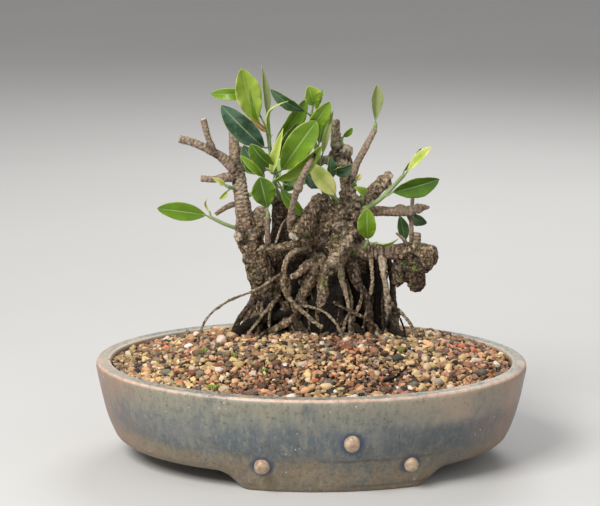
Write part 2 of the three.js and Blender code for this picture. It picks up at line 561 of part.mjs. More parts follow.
const shoots = [
  {
    name: "shoot_left",
    colour: "middle",
    stem: [[-52, 30, 170, 1.8], [-59, 27, 176, 1.6], [-70, 24, 181, 1.5], [-82, 24, 187, 1.3]],
    leaves: [
      { from: [-80, 24, 186], base: [-84, 23, 188], tip: [-122, 13, 195], width: 15,
        roll: 18, fold: 10, bow: 0.03 },
      { from: [-80, 24, 186], base: [-81, 24, 190], tip: [-82, 20, 203], width: 3,
        roll: 60, bow: -0.3, shape: "spear" },
    ],
  },
  {
    name: "shoot_crown",
    colour: "bright",
    stem: [[-25, 52, 196, 2.4], [-30, 34, 210, 2], [-29, 24, 222, 1.8], [-32, 19, 234, 1.7],
      [-34, 18, 246, 1.5], [-36, 18, 258, 1.3]],
    leaves: [
      { from: [-36, 18, 256], base: [-38, 18, 261], tip: [-50, 13, 306], width: 25,
        roll: 22, fold: 14, bow: -0.05, shape: "pointed" },
      { from: [-36, 18, 256], base: [-39, 13, 260], tip: [-47, 4, 292], width: 7,
        roll: -50, fold: 34, bow: 0.02, shape: "spear" },
      { from: [-36, 19, 258], base: [-48, 24, 277], tip: [-79, 27, 286], width: 13,
        roll: 8, bow: 0.12 },
      { from: [-36, 18, 256], base: [-33, 23, 272], tip: [-37, 21, 307], width: 10,
        roll: 40, fold: 30, bow: 0, shape: "spear" },
      { from: [-34, 18, 244], base: [-37, 14, 250], tip: [-70, 1, 279], width: 21,
        roll: -6, fold: 12, bow: 0.06 },
      { from: [-33, 18, 242], base: [-34, 15, 257], tip: [-21, 1, 282], width: 8,
        roll: 74, fold: 20, bow: 0.14, shape: "spear" },
      { from: [-32, 20, 236], base: [-30, 19, 245], tip: [-5, 31, 280], width: 16,
        roll: 24, fold: 18, bow: 0.06 },
      { from: [-29, 22, 222], base: [-26, 16, 225], tip: [2, 9, 266], width: 25,
        roll: -10, fold: 12, bow: 0.03, shape: "round" },
      { from: [-29, 22, 222], base: [-28, 8, 226], tip: [7, -6, 249], width: 15,
        roll: 30, fold: 24, bow: 0.12, shape: "pointed" },
      { from: [-29, 24, 222], base: [-32, 11, 225], tip: [-23, 4, 260], width: 8.5,
        roll: -20, fold: 26, bow: 0.02, shape: "spear" },
      { from: [-32, 19, 234], base: [-34, 9, 241], tip: [-49, -4, 246], width: 9,
        roll: -40, fold: 8, bow: 0.05, shape: "round" },
    ],
  },
  {
    name: "shoot_crown_right",
    colour: "bright",
    stem: [[13, 38, 196, 2.6], [6, 31, 216, 2], [3, 27, 240, 1.8], [-1, 24, 257, 1.6],
      [-1, 24, 271, 1.3]],
    leaves: [
      { from: [-1, 24, 268], base: [-6, 18, 272], tip: [-33, 1, 291], width: 10,
        roll: -24, fold: 8, bow: 0.1, shape: "pointed" },
      { from: [-1, 24, 269], base: [0, 21, 276], tip: [-3, 17, 292], width: 13,
        roll: 36, fold: 20, bow: 0.1, shape: "pointed" },
      { from: [-1, 24, 269], base: [3, 26, 272], tip: [9, 32, 286], width: 10,
        roll: -40, fold: 20, bow: 0.1 },
      { from: [3, 27, 238], base: [5, 25, 246], tip: [11, 20, 277], width: 15,
        roll: 14, fold: 20, bow: -0.04 },
      { from: [5, 29, 228], base: [11, 15, 240], tip: [17, 12, 274], width: 7,
        roll: -14, fold: 40, bow: 0, shape: "spear" },
    ],
  },
  {
    name: "shoot_low_left",
    colour: "dark",
    stem: [[-50, 30, 203, 1.8], [-44, 24, 208, 1.6], [-38, 18, 216, 1.5]],
    leaves: [
      { from: [-39, 18, 215], base: [-38, 20, 221], tip: [-53, 13, 244], width: 12,
        roll: -26, fold: 22, shape: "pointed" },
      { from: [-39, 18, 215], base: [-38, 14, 220], tip: [-56, 5, 240], width: 9,
        roll: 10, fold: 28, bow: 0.1, shape: "pointed" },
    ],
  },
  {
    name: "leaf_front",
    colour: "middle",
    stem: [[-35, 10, 187, 1.7], [-35, 10, 191, 1.5], [-35, 10, 194, 1.3]],
    leaves: [
      { from: [-35, 10, 192], base: [-35, 9, 196], tip: [-39, 0, 224], width: 18,
        roll: 8, fold: 12, bow: 0.02, shape: "round" },
    ],
  },
  {
    name: "leaf_yellowing",
    colour: "bright",
    stem: [[20, 30, 197, 1.6], [20, 20, 204, 1.4], [18, 14, 211, 1.2]],
    leaves: [
      { from: [18, 14, 210], base: [16, 13, 214], tip: [-1, 0, 235], width: 12.5,
        roll: 12, fold: 10, bow: 0.08 },
    ],
  },
  {
    name: "leaves_inner_dark",
    colour: "dark",
    stem: [[18, 30, 200, 2.2], [12, 26, 210, 1.8], [12, 24, 220, 1.5]],
    leaves: [
      { from: [12, 25, 216], base: [15, 22, 225], tip: [31, 13, 230], width: 11,
        roll: 34, fold: 22, bow: 0.12 },
      { from: [12, 26, 210], base: [8, 22, 211], tip: [-6, 12, 225], width: 12, roll: -20, fold: 14 },
      { from: [12, 25, 214], base: [13, 19, 217], tip: [13, 12, 237], width: 11, roll: 40, fold: 18 },
    ],
  },
  {
    name: "leaf_small_top",
    colour: "bright",
    stem: [[25, 32, 240, 1.2], [23, 31, 246, 1.1], [23, 31, 250, 1]],
    leaves: [
      { from: [23, 31, 248], base: [24, 31, 250], tip: [31, 27, 258], width: 5.5,
        roll: 20, fold: 20, shape: "round" },
    ],
  },
  {
    name: "leaf_spear",
    colour: "olive",
    stem: [[48, 27, 254, 1.8], [49, 27, 258, 1.6], [49, 26, 262, 1.5]],
    leaves: [
      { from: [49, 27, 259], base: [49, 26, 263], tip: [50, 23, 293], width: 8.8,
        roll: 12, fold: 30, bow: 0, shape: "spear" },
    ],
  },
  {
    name: "shoot_right",
    colour: "middle",
    stem: [[35, 32, 190, 2.6], [46, 25, 196, 2], [57, 23, 205, 1.8], [72, 20, 222, 1.5]],
    leaves: [
      { from: [70, 20, 220], base: [74, 19, 224], tip: [93, 11, 246], width: 9,
        roll: -34, fold: 30, bow: 0.04, shape: "pointed" },
      { from: [70, 20, 220], base: [72, 21, 225], tip: [85, 22, 243], width: 8,
        roll: 30, fold: 24, bow: 0.06 },
      { from: [57, 22, 204], base: [63, 20, 208], tip: [99, 7, 221], width: 18,
        roll: 14, fold: 16, bow: 0.05, shape: "pointed" },
    ],
  },
  {
    name: "leaf_curled",
    colour: "bright",
    stem: [[38, 40, 192, 2], [39, 30, 197, 1.5], [40, 21, 203, 1.2]],
    leaves: [
      { from: [40, 22, 201], base: [40, 20, 204], tip: [33, 9, 214], width: 9,
        roll: 40, fold: 26, bow: 0.2 },
    ],
  },
  {
    name: "leaf_oval_right",
    colour: "middle",
    stem: [[40, 32, 160, 2], [41, 22, 165, 1.6], [42, 18, 172, 1.4]],
    leaves: [
      { from: [42, 18, 170], base: [42, 17, 174], tip: [41, 9, 197], width: 14,
        roll: -8, fold: 16, bow: 0.1, shape: "round" },
    ],
  },
  {
    name: "leaves_right_back",
    colour: "dark",
    stem: [[56, 36, 189, 1.8], [62, 42, 189, 1.6], [69, 46, 187, 1.4]],
    leaves: [
      { from: [68, 45, 187], base: [70, 45, 184], tip: [74, 43, 164], width: 10,
        roll: -14, fold: 18, bow: 0.1 },
      { from: [67, 45, 187], base: [75, 49, 187], tip: [92, 54, 176], width: 11, roll: 20, fold: 16 },
    ],
  },
  {
    name: "leaf_limb_strip",
    colour: "bright",
    stem: [[48, 30, 162, 1.8], [46, 21, 166, 1.4], [47, 18, 167, 1.2]],
    leaves: [
      { from: [46, 20, 166], base: [50, 17, 168], tip: [68, 9, 173], width: 5,
        roll: 50, fold: 24, bow: 0.14, shape: "spear" },
    ],
  },
  {
    name: "buds_left",
    colour: "bright",
    stem: [[-58, 30, 208, 1.6], [-64, 24, 210, 1.5], [-68, 21, 212, 1.3]],
    leaves: [
      { from: [-66, 22, 211], base: [-69, 20, 213], tip: [-79, 15, 220], width: 5,
        roll: 20, fold: 20, shape: "spear" },
      { from: [-65, 23, 210], base: [-67, 21, 208], tip: [-73, 18, 202], width: 4.5,
        roll: -20, fold: 20, shape: "round" },
    ],
  },
  {
    name: "bud_upper",
    colour: "bright",
    stem: [[31, 32, 210, 1.3], [33, 25, 214, 1.2], [34, 22, 216, 1.1]],
    leaves: [
      { from: [34, 23, 215], base: [34, 22, 217], tip: [38, 18, 223], width: 4.5,
        roll: 10, fold: 24, shape: "round" },
    ],
  },
  {
    name: "shoot_back",
    colour: "middle",
    stem: [[-24, 62, 194, 2.2], [-22, 70, 206, 1.8], [-16, 76, 220, 1.5]],
    leaves: [
      { from: [-17, 75, 218], base: [-15, 77, 223], tip: [-4, 80, 254], width: 18,
        roll: 172, fold: 14, shape: "pointed" },
      { from: [-22, 70, 206], base: [-26, 76, 210], tip: [-44, 90, 226], width: 15,
        roll: 160, fold: 14 },
      { from: [-18, 74, 214], base: [-10, 80, 214], tip: [12, 92, 222], width: 15,
        roll: 190, fold: 14 },
    ],
  },
];

// A leafy shoot in one piece, its root bedded in the bark
function shootSolid({ stem, leaves }, woodRoom) {
  const parts = [limb(stem, { sides: stemSides }), ...leaves.map(leaf)];
  return largestBody(joined(parts).subtract(woodRoom));
}

const bonsai = new THREE.Group();
const wood = woodSolid();
const woodRoom = woodSolid(gap + 0.1);
bonsai.add(meshOf("pot", potSolid(), glaze));
bonsai.add(meshOf("drain_screen_left", screenSolid(-1), plasticMesh));
bonsai.add(meshOf("drain_screen_right", screenSolid(1), plasticMesh));
bonsai.add(meshOf("grit", gritSolid([woodRoom], [-1, 1].map(screenPocket)), gravel));
bonsai.add(meshOf("tree", wood, bark));
for (const shoot of shoots) {
  bonsai.add(meshOf(shoot.name, shootSolid(shoot, woodRoom), greens[shoot.colour]));
}

export default bonsai;
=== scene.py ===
import random
from math import cos, exp, hypot, pi, radians, sin

import bmesh
import bpy
from mathutils import Matrix, Vector, noise
from mathutils.kdtree import KDTree


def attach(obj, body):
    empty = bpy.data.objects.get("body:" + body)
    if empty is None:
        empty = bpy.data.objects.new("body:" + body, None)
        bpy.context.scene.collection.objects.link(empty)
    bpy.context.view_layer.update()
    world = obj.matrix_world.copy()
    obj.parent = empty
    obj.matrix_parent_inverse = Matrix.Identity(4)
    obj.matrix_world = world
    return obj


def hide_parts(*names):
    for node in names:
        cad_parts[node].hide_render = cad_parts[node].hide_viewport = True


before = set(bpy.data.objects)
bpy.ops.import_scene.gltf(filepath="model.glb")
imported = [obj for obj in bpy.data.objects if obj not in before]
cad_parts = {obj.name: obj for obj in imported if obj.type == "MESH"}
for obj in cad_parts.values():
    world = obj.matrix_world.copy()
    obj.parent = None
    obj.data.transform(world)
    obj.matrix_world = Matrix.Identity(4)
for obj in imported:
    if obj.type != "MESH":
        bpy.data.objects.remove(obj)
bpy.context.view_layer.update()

scene = bpy.context.scene
mm = 0.001  # every size below is in millimetres, and is multiplied by mm where a mesh is made


def share(low, high, value):  # smooth step from 0 at low to 1 at high
    t = min(1, max(0, (value - low) / (high - low)))
    return t * t * (3 - 2 * t)


def bezier(start, bend, end, steps):
    return [tuple((1 - t) ** 2 * a + 2 * t * (1 - t) * b + t * t * c for a, b, c in zip(start, bend, end))
            for t in (k / steps for k in range(steps + 1))]


def meshOf(piece):  # the mesh that a curve or a modifier gives
    return bpy.data.meshes.new_from_object(piece.evaluated_get(bpy.context.evaluated_depsgraph_get()))


def meshFrom(name, bm):
    mesh = bpy.data.meshes.new(name)
    bm.to_mesh(mesh)
    bm.free()
    mesh.shade_smooth()
    return mesh


def placed(name, data):  # an object in the scene
    made = bpy.data.objects.new(name, data)
    scene.collection.objects.link(made)
    return made


def tell(mesh, name, values):  # keeps a number on each point, for the finish to read
    mesh.attributes.new(name, "FLOAT", "POINT").data.foreach_set("value", values)


def shown(name, mesh, finishes, nodes):  # a finished piece, in place of nodes of the model
    mesh.materials.clear()
    for finish in finishes:
        mesh.materials.append(finish)
    piece = placed(name, mesh)
    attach(piece, "root")
    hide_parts(*nodes)


class Wire:  # a shader value that can stand in Python sums
    def __init__(self, finish, socket):
        self.finish = finish
        self.socket = socket

    def sum(self, operation, first, second=0.0):
        return self.finish.node("Math", {"operation": operation}, {0: first, 1: second})

    def __add__(self, other):
        return self.sum("ADD", self, other)

    def __mul__(self, other):
        return self.sum("MULTIPLY", self, other)

    def __sub__(self, other):
        return self.sum("SUBTRACT", self, other)

    def __rsub__(self, other):
        return self.sum("SUBTRACT", other, self)

    def __truediv__(self, other):
        return self.sum("DIVIDE", self, other)

    def __abs__(self):
        return self.sum("ABSOLUTE", self)

    __radd__ = __add__
    __rmul__ = __mul__

    def least(self, other):
        return self.sum("MINIMUM", self, other)

    def fraction(self):
        return self.sum("FRACT", self)

    def band(self, low, high):  # 0 at low, 1 at high, smooth between
        return self.finish.node("MapRange", {"interpolation_type": "SMOOTHSTEP"},
                                {"Value": self, "From Min": low, "From Max": high})

    def line(self, middle, inner, outer):  # 1 within inner of the middle, 0 past outer
        return 1 - abs(self - middle).band(inner, outer)


class Finish:  # a material, built node by node
    def __init__(self, name):
        self.material = bpy.data.materials.new(name)
        self.material.use_nodes = True
        self.tree = self.material.node_tree
        self.tree.nodes.clear()
        self.place = self.node("TexCoord", output="Object")

    def node(self, kind, settings=None, values=None, output=0):
        made = self.tree.nodes.new("ShaderNode" + kind)
        for key, value in (settings or {}).items():
            if key == "stops":
                made.color_ramp.interpolation = settings["steps"]
                stops = made.color_ramp.elements
                while len(stops) < len(value):
                    stops.new(0.5)
                for stop, (position, colour) in zip(stops, value):
                    stop.position = position
                    stop.color = (*colour, 1)
            elif key != "steps":
                setattr(made, key, value)
        for key, value in (values or {}).items():
            if isinstance(value, Wire):
                self.tree.links.new(value.socket, made.inputs[key])
            else:
                made.inputs[key].default_value = value
        return Wire(self, made.outputs[output]) if made.outputs else made

    def noise(self, scale, detail=3.0, roughness=0.5, stretch=None):
        place = self.place
        if stretch:
            place = self.node("Mapping", None, {"Vector": place, "Scale": stretch})
        return self.node("TexNoise", None, {"Vector": place, "Scale": scale, "Detail": detail,
                                            "Roughness": roughness}, "Fac")

    def cells(self, scale):
        return self.node("TexVoronoi", None, {"Vector": self.place, "Scale": scale}, "Distance")

    def distance(self, spot):  # to a spot, in millimetres
        return self.node("VectorMath", {"operation": "DISTANCE"},
                         {0: self.place, 1: Vector(spot) * mm}, "Value") * 1000

    def told(self, name):  # a number kept on the mesh's points
        return self.node("Attribute", {"attribute_name": name}, None, "Fac")

    def ramp(self, value, stops, steps="LINEAR"):
        return self.node("ValToRGB", {"steps": steps, "stops": stops}, {0: value})

    def mix(self, amount, first, second, blend="MIX"):
        colours = [c if isinstance(c, Wire) else (*c, 1) for c in (first, second)]
        return self.node("Mix", {"data_type": "RGBA", "blend_type": blend},
                         {0: amount, 6: colours[0], 7: colours[1]}, 2)

    def axes(self):
        parts = self.node("SeparateXYZ", None, {0: self.place})
        return [Wire(self, socket) * 1000 for socket in parts.socket.node.outputs]

    def bump(self, height, distance, strength=1.0):  # distance in millimetres
        return self.node("Bump", None, {"Height": height, "Distance": distance * mm, "Strength": strength})

    def done(self, **values):  # base_color becomes the socket Base Color, and so on
        names = {name.replace("_", " ").title().replace("Ior", "IOR"): values[name] for name in values}
        surface = self.node("BsdfPrincipled", None, names)
        self.node("OutputMaterial", None, {"Surface": surface})
        return self.material


# Camera, light and floor, as in the photograph
room = {
    "camera": {"place": (0, -1740.3, 537.8), "tilt": 77.84, "turn": 0.31, "roll": 0.3, "lens": 136.4},
    "lights": [
        {"name": "key", "place": (-900, -1100, 1500), "size": 900, "power": 47, "colour": (1, 0.955, 0.89)},
        {"name": "fill", "place": (1500, -900, 900), "size": 1300, "power": 5, "colour": (1, 0.98, 0.96)},
        {"name": "back", "place": (300, 1300, 1300), "size": 900, "power": 15, "colour": (1, 0.98, 0.95)},
    ],
    "aim": (0, 0, 140),  # what the lights look at
    "air": (1, 0.97, 0.935),
    "airStrength": 0.4,
    "floorReach": 9000,
    "floorTones": [(0.5, 0.51, 0.52), (0.55, 0.56, 0.57)],
}


def setCamera(camera):
    seeing = placed("camera", bpy.data.cameras.new("camera"))
    seeing.data.lens = camera["lens"]
    seeing.data.sensor_width = 36
    seeing.data.sensor_fit = "HORIZONTAL"
    seeing.matrix_world = (Matrix.Translation(Vector(camera["place"]) * mm)
                           @ Matrix.Rotation(radians(camera["turn"]), 4, "Z")
                           @ Matrix.Rotation(radians(camera["tilt"]), 4, "X")
                           @ Matrix.Rotation(radians(camera["roll"]), 4, "Z"))
    scene.camera = seeing


def setLight(light):
    lamp = placed(light["name"], bpy.data.lights.new(light["name"], "AREA"))
    lamp.data.size = light["size"] * mm
    lamp.data.energy = light["power"]
    lamp.data.color = light["colour"]
    lamp.location = Vector(light["place"]) * mm
    lamp.rotation_euler = (Vector(room["aim"]) * mm - lamp.location).to_track_quat("-Z", "Y").to_euler()


def setAir():
    world = bpy.data.worlds.new("soft room")
    scene.world = world
    world.use_nodes = True
    air = world.node_tree.nodes["Background"]
    air.inputs["Color"].default_value = (*room["air"], 1)
    air.inputs["Strength"].default_value = room["airStrength"]
    scene.view_settings.view_transform = "Standard"


def layFloor():
    f = Finish("pale floor")
    finish = f.done(base_color=f.mix(f.noise(3, 4), *room["floorTones"]), roughness=0.8)
    bm = bmesh.new()
    bmesh.ops.create_grid(bm, x_segments=1, y_segments=1, size=room["floorReach"] * mm)
    floor = placed("floor", meshFrom("floor", bm))
    floor.data.materials.append(finish)


setCamera(room["camera"])
for light in room["lights"]:
    setLight(light)
setAir()
layFloor()
print("camera, light and floor ready")


# Pot: stoneware under a runny grey-green and blue glaze
pot = {
    "length": 340,
    "width": 248,
    "height": 78,
    "foot": 12,  # height of the base over the ground, where no foot stands
    "floor": 20,
    "steps": 384,
    "unevenness": (0.35, 0.25),  # large and small
    "drain": 16,
    "drains": [(-60, 0), (60, 0)],
    "drainSteps": 40,
    "footCentre": 17,
    "footSole": 60,
    "footTop": 89,
    "footWall": [  # inset and height from the base down to the sole and up the outside
        (36.6, 11.6), (36, 10.6), (36, 6), (36, 1.2), (35.2, 0.2), (34, 0), (30, 0), (26, 0), (24, 0),
        (22.8, 0.15), (21.8, 0.7), (21, 2), (20.3, 4), (19.6, 6), (18.7, 9), (17.5, 12), (16.4, 14.6),
        (15.2, 17.4)],
    "outside": [  # curves of inset and height: start, bend, end and steps
        ((14.6, 20), (9, 31), (5.5, 46), 14), ((5.5, 46), (1.7, 62), (0, 74), 14),
        ((0, 74), (0.05, 77.3), (2.6, 78), 8)],
    "lip": [(4, 77.95), (5.5, 77.85), (7, 77.85), (8.5, 77.95)],
    "inside": [((9.2, 78), (11.4, 78), (11.6, 75.4), 6), ((11.7, 73), (12.6, 62), (15, 50), 8),
               ((15.2, 48), (19, 27), (36, 20), 10)],
    "nubs": [  # x, z, radius, half height, and how far inside the rim the wall stands there
        (-36.5, 22.3, 6, 6, 13.2), (75.8, 21.4, 5.6, 5.7, 13.2), (30.8, 42.8, 6.1, 6.7, 6.8)],
    "nubOut": 0.9,
    "nubDepth": 0.85,
    "patterns": {  # scale, detail, roughness and stretch of the noise in the glaze
        "clouds": (24, 5, 0.62), "fine": (230, 4, 0.7), "dashes": (420, 3, 0.65, (1, 1, 0.22)),
        "streaks": (120, 4, 0.6, (1, 1, 0.16)), "drift": (52, 4, 0.65, (1, 1, 0.4)), "patches": (34, 4, 0.6),
        "blots": (95, 4, 0.7), "warmth": (15, 4, 0.65), "rust": (60, 4, 0.7), "drips": (19, 3, 0.6),
        "footDrips": (27, 3, 0.6), "chosen": (75, 2), "pitted": (58, 2, 0.6), "grain": (520, 2)},
    "column": [  # colours of the glaze from the ground up
        (0.0, (0.2, 0.16, 0.1)), (0.2, (0.24, 0.183, 0.118)), (0.33, (0.2, 0.172, 0.122)),
        (0.4, (0.11, 0.125, 0.13)), (0.62, (0.125, 0.148, 0.165)), (0.74, (0.2, 0.21, 0.185)),
        (0.9, (0.265, 0.25, 0.19)), (1.0, (0.27, 0.27, 0.225))],
    "layers": [  # a pattern, where it starts and is full, how much it hides, and its colour
        ("streaks", 0.5, 0.72, 0.35, (0.29, 0.285, 0.22)), ("drift", 0.5, 0.68, 0.5, (0.1, 0.125, 0.15)),
        ("dashes", 0.52, 0.72, 0.36, (0.33, 0.34, 0.3)), ("dashes", 0.48, 0.3, 0.36, (0.075, 0.088, 0.095)),
        ("patches", 0.5, 0.66, 0.2, (0.33, 0.3, 0.235)), ("fine", 0.5, 0.36, 0.4, (0.06, 0.07, 0.08)),
        ("blots", 0.54, 0.66, 0.45, (0.27, 0.245, 0.19))],
    "tones": {
        "pink": (0.42, 0.32, 0.24), "slate": (0.06, 0.06, 0.062), "brownEnds": (0.34, 0.2, 0.14),
        "rust": (0.34, 0.24, 0.165), "lip": ((0.085, 0.095, 0.095), (0.27, 0.27, 0.24)),
        "lipClouds": (0.41, 0.36, 0.285), "lipLeft": (0.52, 0.45, 0.37),
        # the edge colours are the pale glaze break on the lip, lightened also as a painted highlight
        "edge": ((0.5, 0.3, 0.22), (0.6, 0.5, 0.42)), "inner": (0.5, 0.43, 0.34),
        "pool": (0.05, 0.075, 0.14), "drip": (0.09, 0.055, 0.035), "footLine": (0.08, 0.06, 0.045),
        "speck": (0.66, 0.66, 0.6), "pit": (0.04, 0.04, 0.035), "redFleck": (0.35, 0.06, 0.035),
        "bareSole": (0.3, 0.2, 0.13)},
    "redFleck": (-159.5, -8, 77.8),
}


def ovalPoint(inset, x, y):  # a point of the rim's oval, moved inwards; x and y give its direction
    a, b = pot["length"] / 2, pot["width"] / 2
    away = Vector((x / a, y / b))
    return Vector((a * x, b * y)) - inset * away.normalized()


def ovalInset(x, y):  # how far a point lies inside the rim's oval
    a, b = pot["length"] / 2, pot["width"] / 2
    inset = 0
    for _ in range(3):
        inset += (1 - hypot(x / (a - inset), y / (b - inset))) * min(a, b)
    return inset


def footShare(x, y):  # 1 on the foot, 0 past its sloped ends, front and back
    side = -1 if y < 0 else 1
    return 1 - share(pot["footSole"], pot["footTop"], abs(x + side * pot["footCentre"]))


def potProfile():  # rows of inset, height, and inset and height where the foot stands
    base, floor = pot["foot"], pot["floor"]
    rows = [(inset, base, inset, base) for inset in (48, 44, 40)]
    hanging = [(37 - 0.75 * k, base) for k in range(12)] + bezier((27, base), (21.5, 12.2), (16, 18), 6)[1:]
    rows += [(*low, *high) for low, high in zip(hanging, pot["footWall"])]
    wall = [pot["outside"][0][0]]
    for curve in pot["outside"]:
        wall += bezier(*curve)[1:]
    wall += pot["lip"]
    for curve in pot["inside"]:
        wall += bezier(*curve)
    wall += [(inset, floor) for inset in (44, 48)]
    return rows + [(*point, *point) for point in wall]


def layOnOval(vertex, rows):  # each vertex holds its row in z until it is laid on the oval
    row = rows[round(vertex.co.z)]
    x, y = vertex.co.xy.normalized()
    onFoot = footShare(*ovalPoint(row[0], x, y))
    inset = row[0] + (row[2] - row[0]) * onFoot
    high = row[1] + (row[3] - row[1]) * onFoot
    flat = ovalPoint(inset, x, y)
    wave = noise.noise(Vector((x * 2.2, y * 2.2, high * 0.02))) * pot["unevenness"][0]
    wave += noise.noise(Vector((*flat, high)) * 0.09) * pot["unevenness"][1]
    flat += Vector((x, y)).normalized() * min(0, wave)
    vertex.co = Vector((*flat, high)) * mm


def fillRound(bm, high):  # fills the floor at this height, and leaves its drainage holes open
    around = {edge for edge in bm.edges if edge.is_boundary and abs(edge.verts[0].co.z - high * mm) < 1e-4}
    radius, count = pot["drain"] / 2, pot["drainSteps"]
    rings = []
    for x, y in pot["drains"]:
        turns = [2 * pi * k / count for k in range(count)]
        ring = [bm.verts.new(Vector((x + radius * cos(t), y + radius * sin(t), high)) * mm) for t in turns]
        around |= {bm.edges.new((ring[k], ring[k - 1])) for k in range(count)}
        rings.append(ring)
    bmesh.ops.triangle_fill(bm, use_beauty=True, edges=list(around))
    return rings


def potMesh():
    bm = bmesh.new()
    rows = potProfile()
    reach = pot["length"] / 2
    chain = [bm.verts.new((reach - inset, 0, number)) for number, (inset, *_) in enumerate(rows)]
    edges = [bm.edges.new(pair) for pair in zip(chain, chain[1:])]
    bmesh.ops.spin(bm, geom=chain + edges, cent=(0, 0, 0), axis=(0, 0, 1), angle=2 * pi,
                   steps=pot["steps"], use_merge=True)
    bmesh.ops.remove_doubles(bm, verts=bm.verts, dist=1e-4)
    for vertex in bm.verts:
        layOnOval(vertex, rows)
    for low, top in zip(fillRound(bm, pot["foot"]), fillRound(bm, pot["floor"])):  # walls of the holes
        for k in range(len(low)):
            bm.faces.new((low[k], low[k - 1], top[k - 1], top[k]))
            for ring in (low, top):
                bm.edges.get((ring[k], ring[k - 1])).smooth = False
    bmesh.ops.recalc_face_normals(bm, faces=bm.faces)
    print("pot made:", len(bm.faces), "faces, open edges:", sum(not edge.is_manifold for edge in bm.edges))
    return meshFrom("pot_glazed", bm)


def nubPlaces():  # the front nubs, and the back ones turned half round the middle
    places = []
    for x, z, radius, tall, inset in pot["nubs"]:
        a, b = pot["length"] / 2 - inset, pot["width"] / 2 - inset
        y = -b * (1 - (x / a) ** 2) ** 0.5 - pot["nubOut"]
        places += [(x, y, z, radius, tall), (-x, -y, z, radius, tall)]
    return places


def nubMesh():
    bm = bmesh.new()
    for x, y, z, radius, tall in nubPlaces():
        size = Matrix.Diagonal((radius * mm, radius * pot["nubDepth"] * mm, tall * mm, 1))
        lump = bmesh.ops.create_uvsphere(bm, u_segments=32, v_segments=18, radius=1,
                                         matrix=Matrix.Translation(Vector((x, y, z)) * mm) @ size)
        for vertex in lump["verts"]:
            vertex.co += Vector((1, 1, 1)) * noise.noise(vertex.co * 260) * 0.3 * mm
    return meshFrom("pot_nubs", bm)


def glazeFinish():
    f = Finish("runny glaze")
    x, _, z = f.axes()
    tones = pot["tones"]
    noises = {name: f.noise(*settings) for name, settings in pot["patterns"].items()}
    clouds, fine, dashes, streaks = (noises[name] for name in ("clouds", "fine", "dashes", "streaks"))
    height = z + (clouds - 0.5) * 30 + (streaks - 0.5) * 12
    body = f.ramp(height / 80, pot["column"])
    for name, low, high, amount, colour in pot["layers"]:
        body = f.mix(noises[name].band(low, high) * amount, body, colour)
    warm = noises["warmth"].band(0.42, 0.62)
    body = f.mix(x.band(50, 100) * z.band(46, 60) * (0.3 + warm) * 0.5, body, tones["pink"])
    body = f.mix(x.band(30, 100) * z.line(34, 12, 24) * 0.3, body, tones["slate"])
    ends = (abs(x).band(105, 168) * (0.4 + warm)).least(1)
    body = f.mix(ends * 0.55, body, tones["brownEnds"])
    body = f.mix(noises["rust"].band(0.6, 0.7) * 0.35, body, tones["rust"])
    top = f.mix(fine.band(0.34, 0.58), *tones["lip"])
    top = f.mix(clouds.band(0.44, 0.6) * 0.7, top, tones["lipClouds"])
    top = f.mix((0 - x).band(125, 160) * 0.4, top, tones["lipLeft"])
    body = f.mix(z.band(76.6, 77.6), body, top)
    inset = f.told("inset")  # the glaze breaks pale where the lip turns over, and a painted highlight runs along that rounded edge
    edge = inset.line(1.3, 0.3, 1.5) * z.band(75, 77) * (0.35 + clouds.band(0.3, 0.5))
    body = f.mix((edge * 0.85).least(1), body, f.mix(fine.band(0.3, 0.7), *tones["edge"]))
    inner = inset.line(10.5, 0.4, 1.5) * z.band(74, 76.5) * (0.5 + fine * 0.6)
    body = f.mix((inner * 0.8).least(1), body, tones["inner"])
    for *middle, radius, _ in nubPlaces():  # it pools round each nub, a little below the middle
        away = f.distance(Vector(middle) - Vector((0, 0, 0.4)))
        ring = 1 - (away + (fine - 0.5) * 6).band(radius + 1.2, radius + 5.4)
        body = f.mix(ring * 0.85, body, tones["pool"])
    run = z + (clouds - 0.5) * 5 + (streaks - 0.5) * 4
    drip = run.line(27.8, 0.3, 1.9) * noises["drips"].band(0.46, 0.56) * x.line(20, 70, 90)
    body = f.mix(drip * 0.6, body, tones["drip"])
    footLine = (z + (clouds - 0.5) * 6).line(5, 0.3, 1.6) * noises["footDrips"].band(0.44, 0.58)
    body = f.mix(footLine * 0.5, body, tones["footLine"])
    specks = (1 - f.cells(190).band(0.06, 0.14)) * noises["chosen"].band(0.55, 0.62)
    body = f.mix(specks * 0.9, body, tones["speck"])
    pits = (1 - f.cells(310).band(0.08, 0.2)) * noises["pitted"].band(0.52, 0.6)
    body = f.mix(pits * 0.7, body, tones["pit"])
    body = f.mix(1 - (f.distance(pot["redFleck"]) + fine * 2).band(1.6, 3.2), body, tones["redFleck"])
    bare = 1 - z.band(0.6, 1.6)
    body = f.mix(bare, body, tones["bareSole"])
    rough = 0.36 + fine * 0.2 + pits * 0.2 + (1 - z.band(6, 30)) * 0.14 + bare * 0.3
    relief = fine * 0.5 + clouds * 0.6 - pits * 1.1 + dashes * 0.4 + noises["grain"] * 0.16
    return f.done(base_color=body, roughness=rough, normal=f.bump(relief, 0.5, 0.8))


def clayFinish():
    f = Finish("cream nub glaze")
    blotch = f.noise(230, 4, 0.6)
    colour = f.ramp(blotch, [(0.3, (0.26, 0.17, 0.11)), (0.5, (0.4, 0.29, 0.2)), (0.7, (0.52, 0.42, 0.31))])
    colour = f.mix(f.noise(400, 2).band(0.6, 0.7) * 0.7, colour, (0.2, 0.14, 0.1))
    return f.done(base_color=colour, roughness=0.32 + blotch * 0.2, normal=f.bump(blotch, 0.4, 0.7))


potShell = potMesh()
tell(potShell, "inset", [ovalInset(v.co.x / mm, v.co.y / mm) if v.co.z > 0.06 else 20
                         for v in potShell.vertices])
shown("pot_glazed", potShell, [glazeFinish()], ["pot"])
shown("pot_nubs", nubMesh(), [clayFinish()], ["pot"])


